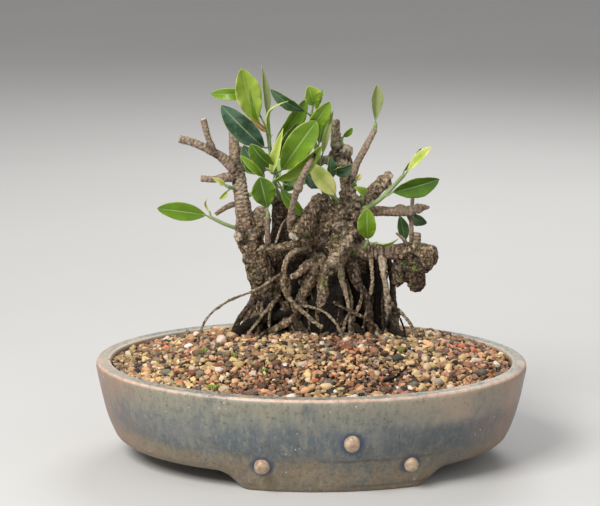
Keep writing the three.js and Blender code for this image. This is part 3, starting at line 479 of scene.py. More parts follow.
# Screens over the drainage holes, kept from the model
def screenFinish():
    f = Finish("drain mesh plastic")
    dust = f.noise(300, 4, 0.6)
    colour = f.mix(dust.band(0.45, 0.7), (0.025, 0.028, 0.026), (0.12, 0.09, 0.06))
    return f.done(base_color=colour, roughness=0.5 + dust * 0.3, normal=f.bump(dust, 0.2, 0.6))


meshPlastic = screenFinish()
for side in ("left", "right"):
    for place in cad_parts["drain_screen_" + side].material_slots:
        place.material = meshPlastic
print("screens finished")


# Grit: a mounded bed under small stones, larger stones and pebbles
grit = {
    "belowRim": 4.5,
    "mound": 19,
    "moundX": 8,
    "moundY": 15,
    "moundLength": 300,
    "moundWidth": 216,
    "inset": 12.3,
    "bottom": 60,
    "bedDrop": 1.2,
    "stoneForms": {1: (1.1, 0.85), 2: (1.3, 0.5)},  # pitch and depth of the dents in broken and round stones
    "forms": 9,
    "seed": 11,
    "scatter": 0.36,  # how far a stone strays from the middle of its cell
    "tumble": 0.5,
    "layers": [  # cell, smallest and largest stone, how high its middle lies, share of dark stones (dark chips, and painted shade in the gaps)
        {"name": "grit_small", "cell": 3.4, "small": 1.2, "large": 2.2, "lift": -0.2, "form": 1, "dark": 0.34,
         "named": []},
        {"name": "grit_medium", "cell": 5.0, "small": 1.8, "large": 3.3, "lift": 0.4, "form": 1, "dark": 0.1,
         "named": []},
        {"name": "grit_pebbles", "cell": 13.5, "small": 2.2, "large": 4.0, "lift": 1.0, "form": 2, "dark": 0,
         "named": [  # x, y, radius, flatness and tone of the pebbles that stand out
             (109, -81, 5, 0.55, 0.995), (106, -72, 4.4, 0.5, 0.96), (78, -74, 4.8, 0.6, 0.86),
             (101, -60, 4.2, 0.7, 0.1), (128, 10, 4.4, 0.8, 0.995), (120, 18, 3.6, 0.8, 0.995),
             (134, 2, 3.4, 0.8, 0.5), (-6, -52, 4, 0.7, 0.96), (-66, -82, 3.6, 0.8, 0.96),
             (50, -62, 3.6, 0.6, 0.96), (-72, 12, 6, 0.7, 0.97), (-64, 22, 5, 0.7, 0.3),
             (-112, -42, 4.6, 0.6, 0.87), (-92, -50, 4.4, 0.5, 0.8), (-72, -44, 4.6, 0.5, 0.8),
             (28, -18, 5.2, 0.4, 0.8), (-100, -66, 4.6, 0.5, 0.79), (-40, -30, 5.4, 0.4, 0.46),
             (88, -30, 4.2, 0.7, 0.96), (66, -34, 4.8, 0.7, 0.85), (12, -84, 4.2, 0.7, 0.28),
             (132, -36, 4.4, 0.7, 0.86), (-56, -46, 4.2, 0.7, 0.37), (-128, -30, 4.2, 0.6, 0.5),
         ]},
    ],
    "stoneTones": [  # constant steps of the tone that each stone carries, from yellow to rust to dark
        (0, (0.52, 0.4, 0.19)), (0.15, (0.45, 0.32, 0.17)), (0.27, (0.68, 0.56, 0.34)),
        (0.36, (0.33, 0.27, 0.12)), (0.44, (0.42, 0.25, 0.13)), (0.53, (0.32, 0.15, 0.08)),
        (0.64, (0.24, 0.13, 0.08)), (0.71, (0.05, 0.032, 0.022)), (0.73, (0.48, 0.31, 0.17)),
        (0.785, (0.4, 0.13, 0.06)), (0.8, (0.17, 0.1, 0.1)), (0.84, (0.12, 0.125, 0.1)),
        (0.9, (0.27, 0.26, 0.22)), (0.955, (0.75, 0.69, 0.58)), (0.992, (0.62, 0.2, 0.1)),
    ],
    # the near-black tone of the dark stones, which also paint the shade in the gaps
    "darkChipAndShadeTone": 0.72,
    "namedLift": 1.4,
    "mossSeed": 3,
    "moss": [(-75, -80, 8), (-84, -10, 3), (-60, -30, 4), (-36, -60, 3), (70, -20, 3)],  # x, y, size
    "mossForms": 4,
}


def moundHeight(x, y):
    across = 2 * (x - grit["moundX"]) / grit["moundLength"]
    deep = 2 * (y - grit["moundY"]) / grit["moundWidth"]
    return pot["height"] - grit["belowRim"] + grit["mound"] * max(0, 1 - across**2 - deep**2)


def insidePot(x, y, margin):
    inset = grit["inset"] + margin
    return hypot(x / (pot["length"] / 2 - inset), y / (pot["width"] / 2 - inset)) < 1


def bedMesh():
    bm = bmesh.new()
    bmesh.ops.create_circle(bm, cap_ends=True, cap_tris=True, segments=160, radius=1)
    rim = [v for v in bm.verts if v.co.length > 0.5]
    spokes = [e for e in bm.edges if not (e.verts[0] in rim and e.verts[1] in rim)]
    bmesh.ops.subdivide_edges(bm, edges=spokes, cuts=60, use_grid_fill=True)
    a, b = (pot[side] / 2 - grit["inset"] for side in ("length", "width"))
    for vertex in bm.verts:
        x, y = vertex.co.x * a, vertex.co.y * b
        grain = noise.noise(Vector((x, y, 3)) * 0.45) * 0.7 + noise.noise(Vector((x, y, 8)) * 1.1) * 0.35
        vertex.co = Vector((x, y, moundHeight(x, y) - grit["bedDrop"] + grain)) * mm
    skirt = bmesh.ops.extrude_edge_only(bm, edges=[e for e in bm.edges if e.is_boundary])["geom"]
    for part in skirt:
        if isinstance(part, bmesh.types.BMVert):
            part.co.z = grit["bottom"] * mm
    bmesh.ops.contextual_create(bm, geom=[e for e in bm.edges if e.is_boundary])
    bmesh.ops.recalc_face_normals(bm, faces=bm.faces)
    return meshFrom("grit_bed", bm)


def stoneShapes(form, count):  # broken stones of a few faces each
    pitch, depth = grit["stoneForms"][form]
    shapes = []
    for number in range(count):
        bm = bmesh.new()
        bmesh.ops.create_icosphere(bm, subdivisions=form, radius=1)
        for vertex in bm.verts:
            vertex.co *= 1 + depth * noise.noise(vertex.co * pitch + Vector((number * 7.3, form, 1)))
            vertex.co.x *= 1.12
            vertex.co.y *= 0.92
        bmesh.ops.recalc_face_normals(bm, faces=bm.faces)
        shapes.append(meshFrom("stone shape", bm))
        shapes[-1].attributes.new("tone", "FLOAT", "POINT")
    return shapes


def layStone(pile, shape, place, turn, size, tone):
    stone = shape.copy()
    stone.transform(Matrix.Translation(place * mm) @ turn @ Matrix.Diagonal((*(size * mm), 1)))
    stone.attributes["tone"].data.foreach_set("value", [tone] * len(stone.vertices))
    pile.from_mesh(stone)
    bpy.data.meshes.remove(stone)


def turned(dice, axis, low, high):
    return Matrix.Rotation(dice.uniform(low, high), 4, axis)


def stoneTone(dice, dark, x, y):  # yellow and rusty stones lie in drifts
    rusty = 0.5 + 1.5 * noise.noise(Vector((x, y, 0)) * 0.018) + x / 500
    tone = dice.random()
    if tone < 0.75:
        tone = dice.random() * 0.44 if dice.random() > rusty else 0.44 + dice.random() * 0.34
    # dark stones: real dark chips, and painted shade in the gaps among the stones
    return grit["darkChipAndShadeTone"] if dice.random() < dark else tone


def stoneLayer(layer, dice):
    pile = bmesh.new()
    shapes = stoneShapes(layer["form"], grit["forms"])
    cell, stray, tip = layer["cell"], grit["scatter"], grit["tumble"]
    columns, rows = (int(pot[side] / 2 / cell) for side in ("length", "width"))
    for i in range(-columns, columns + 1):
        for j in range(-rows, rows + 1):
            x = (i + 0.5 * (j % 2) + dice.uniform(-stray, stray)) * cell
            y = (j + dice.uniform(-stray, stray)) * cell
            radius = dice.uniform(layer["small"], layer["large"])
            turn = turned(dice, "Z", 0, 2 * pi) @ turned(dice, "X", -tip, tip) @ turned(dice, "Y", -tip, tip)
            size = Vector((radius, radius * dice.uniform(0.65, 1), radius * dice.uniform(0.5, 0.9)))
            shape = dice.choice(shapes)
            tone = stoneTone(dice, layer["dark"], x, y)
            lift = layer["lift"] + dice.uniform(-0.5, 0.7)
            if insidePot(x, y, radius * 0.7):
                layStone(pile, shape, Vector((x, y, moundHeight(x, y) + lift)), turn, size, tone)
    for x, y, radius, flat, tone in layer["named"]:
        turn = turned(dice, "Z", 0, 2 * pi)
        size = Vector((radius, radius * 0.8, radius * flat))
        place = Vector((x, y, moundHeight(x, y) + grit["namedLift"]))
        layStone(pile, dice.choice(shapes), place, turn, size, tone)
    mesh = meshFrom(layer["name"], pile)
    if layer["form"] == 1:
        mesh.shade_flat()
    return mesh


def stoneFinish():
    f = Finish("mixed stone")
    tone = f.told("tone")
    speckle = f.noise(700, 3, 0.7)
    patch = f.noise(260, 3, 0.6)
    colour = f.ramp(tone, grit["stoneTones"], "CONSTANT")
    shade = f.ramp((tone * 37.7).fraction(), [(0, (0.1, 0.1, 0.1)), (1, (0.92, 0.92, 0.92))])
    colour = f.mix(0.85, colour, shade, "OVERLAY")
    colour = f.mix(patch.band(0.5, 0.75) * 0.35, colour, (0.5, 0.42, 0.26))
    colour = f.mix(speckle.band(0.55, 0.7) * 0.3, colour, (0.07, 0.05, 0.04))
    colour = f.mix(1, colour, (0.93, 0.84, 0.83), "MULTIPLY")
    dust = f.noise(120, 3, 0.6).band(0.45, 0.75)
    colour = f.mix(dust * 0.3, colour, (0.27, 0.16, 0.085))
    rough = 0.62 + speckle * 0.25
    return f.done(base_color=colour, roughness=rough, normal=f.bump(speckle + patch, 0.35, 0.8))


def soilAndGapShadeFinish():
    f = Finish("soil darkened as gap shade")
    # near-black soil: painted shade in the gaps between the stones, over the soil's own dark colour
    colour = f.mix(f.noise(500, 4, 0.7).band(0.4, 0.65), (0.012, 0.009, 0.007), (0.07, 0.045, 0.03))
    return f.done(base_color=colour, roughness=0.9, normal=f.bump(f.cells(900), 0.8))


def mossMesh(dice):  # cushions of moss among the stones
    pile = bmesh.new()
    shapes = stoneShapes(1, grit["mossForms"])
    for x, y, size in grit["moss"]:
        for _ in range(int(size * size * 1.2)):
            turn = turned(dice, "Z", 0, 6) @ turned(dice, "X", 0, 3)
            away, way = size * dice.random() ** 0.6 * 0.62, dice.uniform(0, 2 * pi)
            atX, atY = x + away * cos(way), y + away * sin(way) * 0.7
            if insidePot(atX, atY, 1.2):
                place = Vector((atX, atY, moundHeight(atX, atY) + dice.uniform(1.4, 3.2)))
                shape = dice.choice(shapes)
                layStone(pile, shape, place, turn, Vector((1, 0.8, 1)) * dice.uniform(0.6, 1.2), 0.5)
    return meshFrom("moss", pile)


def mossFinish():
    f = Finish("moss")
    tuft = f.noise(800, 3, 0.7)
    colour = f.mix(tuft.band(0.35, 0.65), (0.08, 0.15, 0.015), (0.32, 0.46, 0.07))
    return f.done(base_color=colour, roughness=0.85, normal=f.bump(tuft, 0.5))


shown("grit_bed", bedMesh(), [soilAndGapShadeFinish()], ["grit"])
shown("moss_bits", mossMesh(random.Random(grit["mossSeed"])), [mossFinish()], ["grit"])
stone = stoneFinish()
for number, layer in enumerate(grit["layers"]):
    laid = stoneLayer(layer, random.Random(grit["seed"] + number))
    shown(layer["name"], laid, [stone], ["grit"])
    print(layer["name"], "laid:", len(laid.polygons), "faces")


# Wood: each limb is a route of (x, y, z, radius)
tree = {
    "voxel": 0.95,
    "step": 2.5,
    "axisStep": 1.5,
    "lump": 1.0,  # heights of the relief
    "furrow": 0.9,
    "ring": 0.36,
    "ringPitch": 2.7,
    "jointReach": 2.4,
    "jointDepth": 0.5,
    "seed": 5,
    "fineRoots": 26,
    "fineFoot": 82,
    "fineTones": (0.1, 0.3, 0.6, 0.8),
    "tornHead": ((22, 26, 186), 30),  # middle and reach of the rough wood on the stump
    "roughEnds": {26: (56, 72)},  # between these x a young limb turns rough
    "trunk": [
        [(8, 38, 80, 27), (9, 38, 105, 22), (12, 38, 130, 20), (15, 36, 158, 20), (14, 35, 188, 18),
         (16, 36, 199, 11)],
        [(-14, 44, 84, 17), (-12, 44, 114, 15), (-13, 43, 135, 14), (-8, 40, 158, 12)],
        [(36, 44, 84, 17), (33, 43, 112, 14), (34, 41, 132, 13), (32, 38, 157, 12), (30, 36, 182, 11),
         (29, 36, 199, 8)],
        [(-20, 56, 84, 14), (-21, 56, 116, 12), (-22, 57, 146, 12), (-24, 58, 174, 9), (-25, 60, 198, 7)],
        [(14, 50, 88, 22), (16, 52, 118, 18), (16, 50, 150, 17), (16, 46, 180, 12)],
    ],
    "left": [
        [(-33, 34, 96, 9), (-36, 32, 118, 10), (-40, 30, 138, 11.5), (-46, 28, 157, 10),
         (-52, 27, 171, 9.4), (-54, 28, 187, 6.6), (-57, 30, 207, 6), (-60, 32, 227, 5.6),
         (-62, 34, 242, 4.6), (-63, 35, 253, 3.8)],
        [(-30, 32, 128, 8), (-18, 42, 135, 12)],
        [(-40, 30, 148, 8), (-26, 46, 152, 9)],
        [(-59, 32, 229, 4.5), (-55, 35, 241, 3.4)],
        [(-60, 30, 222, 4.6), (-71, 28, 233, 4.2), (-82, 26, 240, 3.6), (-94, 24, 246, 3.2),
         (-105, 23, 249, 3.4)],
        [(-76, 27, 235, 3.2), (-82, 25, 249, 2.6), (-86, 24, 265, 2.7)],
        [(-59, 30, 216, 3.6), (-68, 26, 218, 4), (-77, 22, 217, 2.8), (-88, 20, 218, 2.9)],
        [(-56, 32, 197, 2.8), (-67, 34, 193, 2.2), (-77, 36, 186, 1.8)],
        [(-50, 27, 171, 5), (-59, 16, 172, 4.2)],
        [(-40, 28, 136, 7), (-43, 17, 138, 4.4)],
    ],
    "upper": [
        [(27, 35, 186, 10), (29, 34, 206, 6.5), (27, 34, 222, 6), (23, 34, 234, 6.5), (19, 35, 241, 5),
         (18, 36, 250, 4.2), (18, 37, 263, 3.4)],
        [(18, 34, 237, 5), (26, 32, 237, 5.8), (28, 31, 243, 4)],
        [(29, 33, 212, 4.4), (34, 30, 227, 3.2), (42, 28, 243, 2.8), (49, 27, 257, 2.3)],
        [(30, 38, 183, 8), (43, 42, 197, 6), (52, 44, 207, 5.8), (58, 45, 212, 6.8)],
        [(30, 36, 186, 6), (47, 34, 190, 4.3), (63, 32, 190, 3.9), (77, 31, 191, 4.3), (87, 30, 194, 3.2),
         (93, 29, 194, 1)],
        [(8, 26, 200, 7), (1, 16, 197, 5.2), (-7, 6, 186, 4.6), (-15, -4, 176, 4.4)],
        [(-12, 14, 172, 3.2), (-17, 8, 182, 2.9), (-15, 0, 202, 2.6), (-9, -8, 222, 2.9),
         (-3, -11, 235, 2.4), (0.4, -12, 240, 1.7), (2, -12, 245, 0.8)],
        [(-35, 15, 162, 2.8), (-35, 12, 175, 2.2), (-35, 10, 190, 2)],
        [(-41, 13, 162, 4), (-29, 13, 164, 3.6), (-18, 13, 166, 3.4), (-7, 14, 169, 3.8),
         (10, 24, 170, 6)],
        [(26, 22, 170, 8), (21, 12, 163, 5.4), (15, 3, 153, 4.4)],
        [(4, 26, 152, 5), (-5, 16, 149, 3.2), (-11, 12, 143, 2.8), (-17, 10, 141, 2.5)],
    ],
    "right": [
        [(28, 36, 163, 12), (44, 32, 158, 6.8), (62, 29, 158, 6.3), (78, 28, 158, 7.6), (90, 28, 157, 8.4),
         (99, 28, 155, 5)],
        [(78, 29, 156, 9), (81, 31, 142, 9.4), (84, 32, 130, 7), (84, 32, 125, 4)],
        [(72, 31, 152, 7), (70, 30, 137, 6), (66, 30, 131, 4)],
        [(78, 26, 160, 2), (72, 23, 170, 1.5), (66, 22, 175, 1.1)],
        [(80, 34, 160, 2.4), (79, 37, 180, 1.9), (80, 40, 203, 1.6)],
        [(83, 32, 160, 3.4), (84, 33, 173, 2.8)],
    ],
    "roots": [  # the last one is a dead twig on the grit
        [(6, 28, 156, 7), (1, 22, 144, 5.6), (-4, 21, 131, 5), (-10, 22, 118, 4.6), (-13, 26, 100, 5),
         (-13, 28, 84, 6)],
        [(14, 28, 154, 7), (9, 21, 138, 5.2), (9, 21, 124, 5), (5, 23, 107, 5), (3, 27, 84, 6.5)],
        [(22, 24, 150, 4), (24, 19, 137, 2.8), (28, 18, 123, 1.8), (30, 18, 108, 1.6), (31, 20, 84, 2)],
        [(24, 22, 136, 3), (23, 22, 123, 2.8), (26, 24, 86, 3.6)],
        [(31, 28, 148, 6), (37, 22, 133, 3.8), (43, 24, 122, 3.2), (49, 29, 86, 3.4)],
        [(47, 28, 154, 2), (48, 24, 132, 1.5), (45, 23, 118, 1.4), (40, 24, 86, 1.6)],
        [(52, 32, 156, 4), (52, 32, 125, 3), (52, 33, 86, 3)],
        [(55, 28, 158, 4), (58, 24, 137, 2.6), (60, 24, 122, 2.8), (62, 28, 102, 3.3), (62, 32, 84, 4)],
        [(61, 25, 119, 1.7), (73, 24, 108, 1.3), (81, 26, 96, 1.5), (82, 28, 80, 1.8)],
        [(62, 27, 109, 2.2), (67, 24, 98, 2.2), (74, 22, 90, 2.6), (82, 19, 82, 2)],
        [(-36, 30, 136, 8), (-39, 28, 122, 5), (-42, 28, 110, 4.6), (-45, 31, 84, 6)],
        [(-40, 27, 128, 3.6), (-50, 26, 114, 2.4), (-59, 28, 100, 2.4), (-66, 32, 82, 3)],
        [(-16, 26, 110, 6), (-37, 23, 104, 3.8), (-50, 23, 99, 3.8), (-62, 26, 88, 3.6), (-66, 29, 80, 3)],
        [(-14, 24, 104, 4), (-28, 16, 98, 2.4), (-38, 12, 94, 2), (-48, 7, 86, 1.6), (-53, 4, 80, 1.3)],
        [(-34, 14, 97, 2), (-39, 9, 92, 1.8), (-42, 5, 82, 1.7)],
        [(-35, 30, 129, 3.6), (-27, 26, 120, 2.6), (-16, 26, 106, 3)],
        [(-12, 19, 117, 1.5), (8, 14, 113, 1.2), (17, 12, 106, 1.2), (24, 8, 95, 1.15), (27, 4, 84, 1.2)],
        [(12, 22, 121, 1.8), (30, 18, 112, 1.5), (43, 18, 106, 1.4), (53, 20, 97, 1.4), (60, 20, 82, 1.5)],
        [(22, 26, 106, 5), (36, 20, 98, 2.8), (45, 20, 86, 2.6)],
        [(58, 34, 104, 5), (69, 24, 92, 3.6), (80, 15, 82, 2.6)],
        [(-12, 24, 100, 5), (-5, 15, 95, 3.2), (2, 8, 86, 2.6)],
        [(-2, 20, 166, 3.4), (-13, 12, 162, 2.6), (-20, 9, 155, 2.4), (-22, 7, 145, 2.3),
         (-22, 7, 133, 2.1), (-16, 7, 122, 2), (-7, 6, 114, 1.8), (4, 3, 105, 1.6), (9, 2, 102, 2)],
        [(-21, 8, 146, 1.5), (-44, 5, 132, 1.2), (-67, 4, 122, 1.15), (-82, 2, 110, 1.1),
         (-88, 0, 97, 1.1), (-92, -3, 78, 1.5)],
        [(-22, 10, 146, 1.8), (-22, 11, 135, 1.6), (-17, 13, 122, 1.5), (-12, 20, 108, 2)],
        [(-22, 48, 152, 6), (-27, 59, 126, 5.4), (-36, 64, 106, 4), (-42, 62, 86, 5)],
        [(0, 48, 156, 6), (-10, 61, 128, 5), (-14, 70, 104, 4.4), (-20, 74, 80, 4)],
        [(17, 50, 158, 7), (14, 65, 130, 5.6), (10, 72, 104, 4.6), (8, 76, 80, 4)],
        [(31, 42, 150, 6), (38, 55, 124, 5), (44, 62, 102, 4), (50, 66, 80, 3.6)],
        [(58, 36, 156, 4), (64, 46, 136, 2.8), (66, 50, 114, 2.6), (70, 48, 80, 3)],
        [(22, 50, 160, 4), (26, 63, 138, 2.8), (30, 74, 116, 2), (34, 84, 98, 1.8), (36, 88, 76, 1.8)],
        [(-6, 52, 162, 6), (-2, 66, 140, 5), (-4, 67, 114, 4.6), (1, 78, 80, 5)],
        [(24, 52, 162, 6), (28, 66, 138, 5), (25, 70, 112, 4.8), (24, 80, 80, 5.4)],
        [(-22, 58, 166, 5), (-19, 69, 142, 4), (-24, 70, 114, 3.8), (-29, 80, 80, 4)],
        [(40, 40, 158, 5), (46, 50, 132, 4), (48, 56, 104, 3.6), (58, 60, 80, 3.6)],
        [(8, 60, 146, 3), (4, 74, 120, 2.4), (-7, 80, 98, 2), (-14, 92, 78, 2)],
        [(34, 54, 142, 3), (40, 68, 114, 2.2), (52, 78, 94, 1.8), (62, 84, 78, 1.8)],
        [(-38, 36, 140, 6), (-44, 44, 122, 4), (-50, 48, 102, 3.4), (-58, 54, 80, 3)],
        [(56, 34, 156, 4), (56, 35, 125, 3.2), (57, 36, 84, 3)],
        [(-17, 9, 190, 1), (-23, 14, 184, 0.9), (-29, 14, 167, 1.3)],
        [(-30, 24, 118, 2), (-42, 18, 104, 1.4), (-50, 14, 94, 1.3), (-56, 12, 80, 1.5)],
        [(-26, 24, 124, 2), (-33, 17, 112, 1.3), (-34, 13, 98, 1.2), (-40, 11, 80, 1.3)],
        [(55, -75, 80, 1.5), (63, -69, 81, 1.2), (72, -54, 84, 0.9)],
    ],
    "lumps": [  # x, y, z, radius, and how it is stretched
        (-47, 27, 170, 9, 1, 0.95, 1.1), (24, 24, 186, 12, 1.1, 0.8, 1), (16, 18, 166, 9, 1.5, 0.8, 0.9),
        (94, 28, 156, 8.6, 0.8, 1, 1), (57, 45, 211, 6.4, 1, 1, 1), (17, 50, 168, 17, 1.3, 0.8, 1.4),
        (-24, 56, 150, 13, 0.9, 0.8, 1.2), (34, 27, 199, 5, 1, 1, 1.3), (40, 30, 190, 4.4, 1, 1, 1),
        (14, 22, 196, 5, 1.2, 1, 0.8), (32, 20, 178, 5, 1, 0.8, 1.2), (10, 18, 176, 4.6, 1.2, 0.8, 1),
        (24, 31, 238, 5.4, 1.3, 1, 0.9), (22, 31, 229, 4.4, 1.2, 1, 0.8), (-52, 22, 178, 4, 1, 1, 1),
        (-40, 22, 150, 5, 1, 0.8, 1.2), (-36, 24, 134, 6, 1, 0.8, 1.2), (88, 23, 148, 6, 1.2, 0.8, 1),
        (72, 26, 146, 6, 1.2, 0.9, 0.8), (50, 41, 206, 5, 1, 1, 1.1), (60, 43, 217, 4, 1, 1, 1),
        (54, 42, 214, 3.4, 1, 1, 1), (-16, 5, 190, 3.7, 1, 1, 1.2), (-11, -6, 216, 3.8, 1, 1, 1.2),
        (-41, 32, 182, 8, 1, 0.8, 1.5), (-10, 50, 172, 10, 0.9, 0.9, 1.7), (-4, 46, 164, 9, 1, 0.9, 1.4),
        (-28, 57, 193, 5, 1, 1, 1), (-21, 61, 195, 5, 1, 1, 0.9), (28, 56, 172, 7, 1, 0.8, 1.3),
        (4, 61, 158, 7, 1, 0.7, 1.4), (18, 62, 178, 6, 1.2, 0.7, 1), (8, 47, 194, 6, 1, 1, 1),
        (27, 45, 194, 6, 1, 1, 1), (-1, 53, 184, 6, 1, 0.8, 1), (-48, 36, 164, 6, 1, 0.8, 1.2),
        (70, 31, 192, 4.4, 1.2, 1, 1), (84, 30, 193, 4.2, 1, 1, 1), (12, 33, 231, 4.6, 1.5, 0.9, 0.8),
        (19, 31, 236, 5, 1.3, 0.9, 0.9),
    ],
    "cutFaces": [  # sawn ends: middle, radius, the way that they look, and how fresh the wood is
        ((-59, 15, 172), 4.4, (-0.6, -0.8, 0.1), 0.5), ((-15, -5, 176), 4.6, (-0.5, -0.7, -0.45), 1),
        ((-43, 12, 162), 4.2, (-1, -0.3, 0), 0.4), ((-63, 35, 254), 4, (0, 0, 1), 0.4),
        ((-55, 35, 242), 3.6, (0.4, 0, 1), 0.4), ((-106, 23, 249), 3.6, (-1, 0, 0.3), 0.4),
        ((-86, 24, 266), 2.8, (0, 0, 1), 0.7), ((-89, 20, 218), 3, (-1, -0.2, 0), 0.4),
        ((18, 37, 264), 3.6, (0, 0, 1), 0.5), ((-17, 10, 141), 2.6, (-0.8, -0.5, -0.4), 0.6),
        ((-35, 10, 191), 2, (0, 0, 1), 0.4), ((15, 2, 152), 4.4, (-0.3, -0.8, -0.5), 0.45),
    ],
    "deadTips": [((2, -12, 246), 10)],  # the black end of a twig, and its reach
    "mossSpots": [  # place and reach of bright moss
        ((74, 22, 150), 5), ((82, 20, 147), 4), ((8, 14, 134), 4), ((32, 26, 158), 5), ((2, 14, 190), 4),
    ],
    "toneAndShadeSpots": [  # place, reach, and how much paler the wood is there; the darker spot under the stump head is painted shade
        ((12, 14, 166), 17, -0.35), ((20, 30, 234), 17, 0.4), ((-59, 28, 216), 24, 0.22),
        ((61, 24, 126), 14, 0.15), ((-48, 18, 176), 14, -0.15), ((20, 4, 157), 12, 0.16),
        ((84, 24, 134), 14, -0.12), ((42, 26, 198), 18, 0.12),
    ],
    "limbLook": {  # tone of each limb, heights where its painted shade ends (near black, as the cavities between the root columns) and its young bark starts, rings
        "tone": 0.52,
        "tones": {
            0: 0.5, 1: 0.4, 2: 0.46, 3: 0.34, 4: 0.4, 5: 0.58, 15: 0.6, 16: 0.64, 19: 0.58, 24: 0.69,
            25: 0.72, 26: 0.58, 27: 0.47, 28: 0.47,
        },
        "paintedShadeHeights": {**dict.fromkeys(range(5), (128, 164)), 5: (102, 142)},
        "young": {5: (176, 194),
                  **dict.fromkeys((8, 9, 10, 11, 12, 17, 19, 21, 22, 26, 29, 30, 31), (0, 1))},
        "ringed": 1,
    },
    "rootLook": {
        "tone": 0.5,
        "tones": {
            # root 7 is pale grey-cream, made paler still as a painted highlight
            0: 0.64, 1: 0.66, 2: 0.82, 3: 0.1, 4: 0.48, 5: 0.78, 6: 0.1, 7: 1.02, 8: 0.78, 9: 0.3,
            10: 0.54, 11: 0.4, 12: 0.1, 13: 0.68, 14: 0.1, 15: 0.5, 16: 0.84, 17: 0.5, 18: 0.2, 19: 0.14,
            20: 0.3, 21: 0.7, 22: 0.68, 23: 0.66, 37: 0.08, 38: 0.85, 39: 0.7, 40: 0.6, 41: 0.02,
        },
        "paintedShadeHeights": {},
        "young": {},
        "ringed": 0.55,
    },
    "barkTones": [
        (0.0, (0.004, 0.0035, 0.003)), (0.2, (0.026, 0.019, 0.014)), (0.4, (0.12, 0.082, 0.05)),
        (0.55, (0.29, 0.2, 0.125)), (0.7, (0.48, 0.36, 0.24)), (0.9, (0.7, 0.59, 0.44))],
    "cutTones": [(0.3, (0.5, 0.38, 0.25)), (0.6, (0.78, 0.68, 0.52))],
    "colours": {
        "rosy": (0.4, 0.24, 0.17), "young": ((0.25, 0.165, 0.125), (0.5, 0.385, 0.31)),
        "youngFibre": (0.36, 0.25, 0.19), "chips": (0.46, 0.37, 0.26), "lichen": (0.6, 0.53, 0.41),
        "grey": (0.4, 0.36, 0.31), "moss": ((0.07, 0.085, 0.02), (0.24, 0.25, 0.08)),
        # the near-black colours below are painted shade: in the furrows and where limbs meet, and in the
        # bark's pits
        "brightMoss": ((0.05, 0.11, 0.012), (0.2, 0.36, 0.05)), "hollow": (0.018, 0.012, 0.009),
        "crest": (0.62, 0.53, 0.42), "freshest": (0.85, 0.81, 0.74), "pits": (0.014, 0.01, 0.007)},
}


def smoothRoute(route, step):  # points every few millimetres along a smooth limb
    points = [Vector(point) for point in route]
    points = [2 * points[0] - points[1], *points, 2 * points[-1] - points[-2]]
    laid = [points[1].copy()]
    for a, b, c, d in zip(points, points[1:], points[2:], points[3:]):
        ab, bc, cd = (max((q - p).xyz.length, 0.01) ** 0.5 for p, q in ((a, b), (b, c), (c, d)))
        leaving = ((b - a) / ab - (c - a) / (ab + bc) + (c - b) / bc) * bc
        arriving = ((c - b) / bc - (d - b) / (bc + cd) + (d - c) / cd) * bc
        count = max(2, round((c - b).xyz.length / step))
        for s in (k / count for k in range(1, count + 1)):
            point = b * (2 * s**3 - 3 * s**2 + 1) + leaving * (s**3 - 2 * s**2 + s)
            point = point + c * (3 * s**2 - 2 * s**3) + arriving * (s**3 - s**2)
            point.w = b.w + (c.w - b.w) * s
            laid.append(point)
    return laid


def tubes(name, routes, roundness, step):
    curve = bpy.data.curves.new(name, "CURVE")
    curve.dimensions = "3D"
    curve.bevel_depth = mm
    curve.bevel_resolution = roundness
    curve.use_fill_caps = True
    for route in routes:
        points = smoothRoute(route, step)
        spline = curve.splines.new("POLY")
        spline.points.add(len(points) - 1)
        for place, point in zip(spline.points, points):
            place.co = (*(point.xyz * mm), 1)
            place.radius = point.w
    holder = placed(name, curve)
    mesh = meshOf(holder)
    bpy.data.objects.remove(holder)
    return mesh


def fineRoots(dice):  # thin roots that hang before and behind the trunk
    made = []
    for number in range(tree["fineRoots"]):
        behind = number % 3 == 2
        x = dice.uniform(-40, 66)
        y = dice.uniform(54, 64) if behind else dice.uniform(20, 27)
        high = dice.uniform(104, 146)
        out = dice.uniform(2, 14) * (1 if behind else -1)
        thick = dice.uniform(0.8, 1.7)
        route = [(x, y, high, thick * 1.3)]
        for down in (0.35, 0.7, 1):
            x += dice.uniform(-7, 7)
            route.append((x, y + out * down, high + (tree["fineFoot"] - high) * down, thick))
        made.append(route)
    return made


def grown(name, routes, knots):  # limbs and knots joined into one skin
    bm = bmesh.new()
    bm.from_mesh(tubes(name, routes, 3, tree["step"]))
    for x, y, z, radius, *stretch in knots:
        size = Matrix.Diagonal((*(Vector(stretch) * radius * mm), 1))
        bmesh.ops.create_icosphere(bm, subdivisions=3, radius=1,
                                   matrix=Matrix.Translation(Vector((x, y, z)) * mm) @ size)
    joined = placed(name, meshFrom(name, bm))
    skin = joined.modifiers.new("one skin", "REMESH")
    skin.mode = "VOXEL"
    skin.voxel_size = tree["voxel"] * mm
    mesh = meshOf(joined)
    mesh.shade_smooth()
    bpy.data.objects.remove(joined)
    return mesh


def limbAxis(routes):  # points along the middle of every limb, and a finder for them
    axis = []
    for number, route in enumerate(routes):
        travelled = 0
        points = smoothRoute(route, tree["axisStep"])
        for before, point in zip([points[0], *points], points):
            travelled += (point - before).xyz.length
            axis.append((point.xyz, number, travelled, point.w))
    near = KDTree(len(axis))
    for index, (place, *_) in enumerate(axis):
        near.insert(place, index)
    near.balance()
    return axis, near


def limbsAt(place, axis, near):  # height over each limb, way along it, its radius and number; nearest first
    closest = {}
    for _, index, distance in near.find_n(place, 12):
        _, number, travelled, radius = axis[index]
        if number not in closest or distance - radius < closest[number][0]:
            closest[number] = (distance - radius, travelled, radius, number)
    return sorted(closest.values())


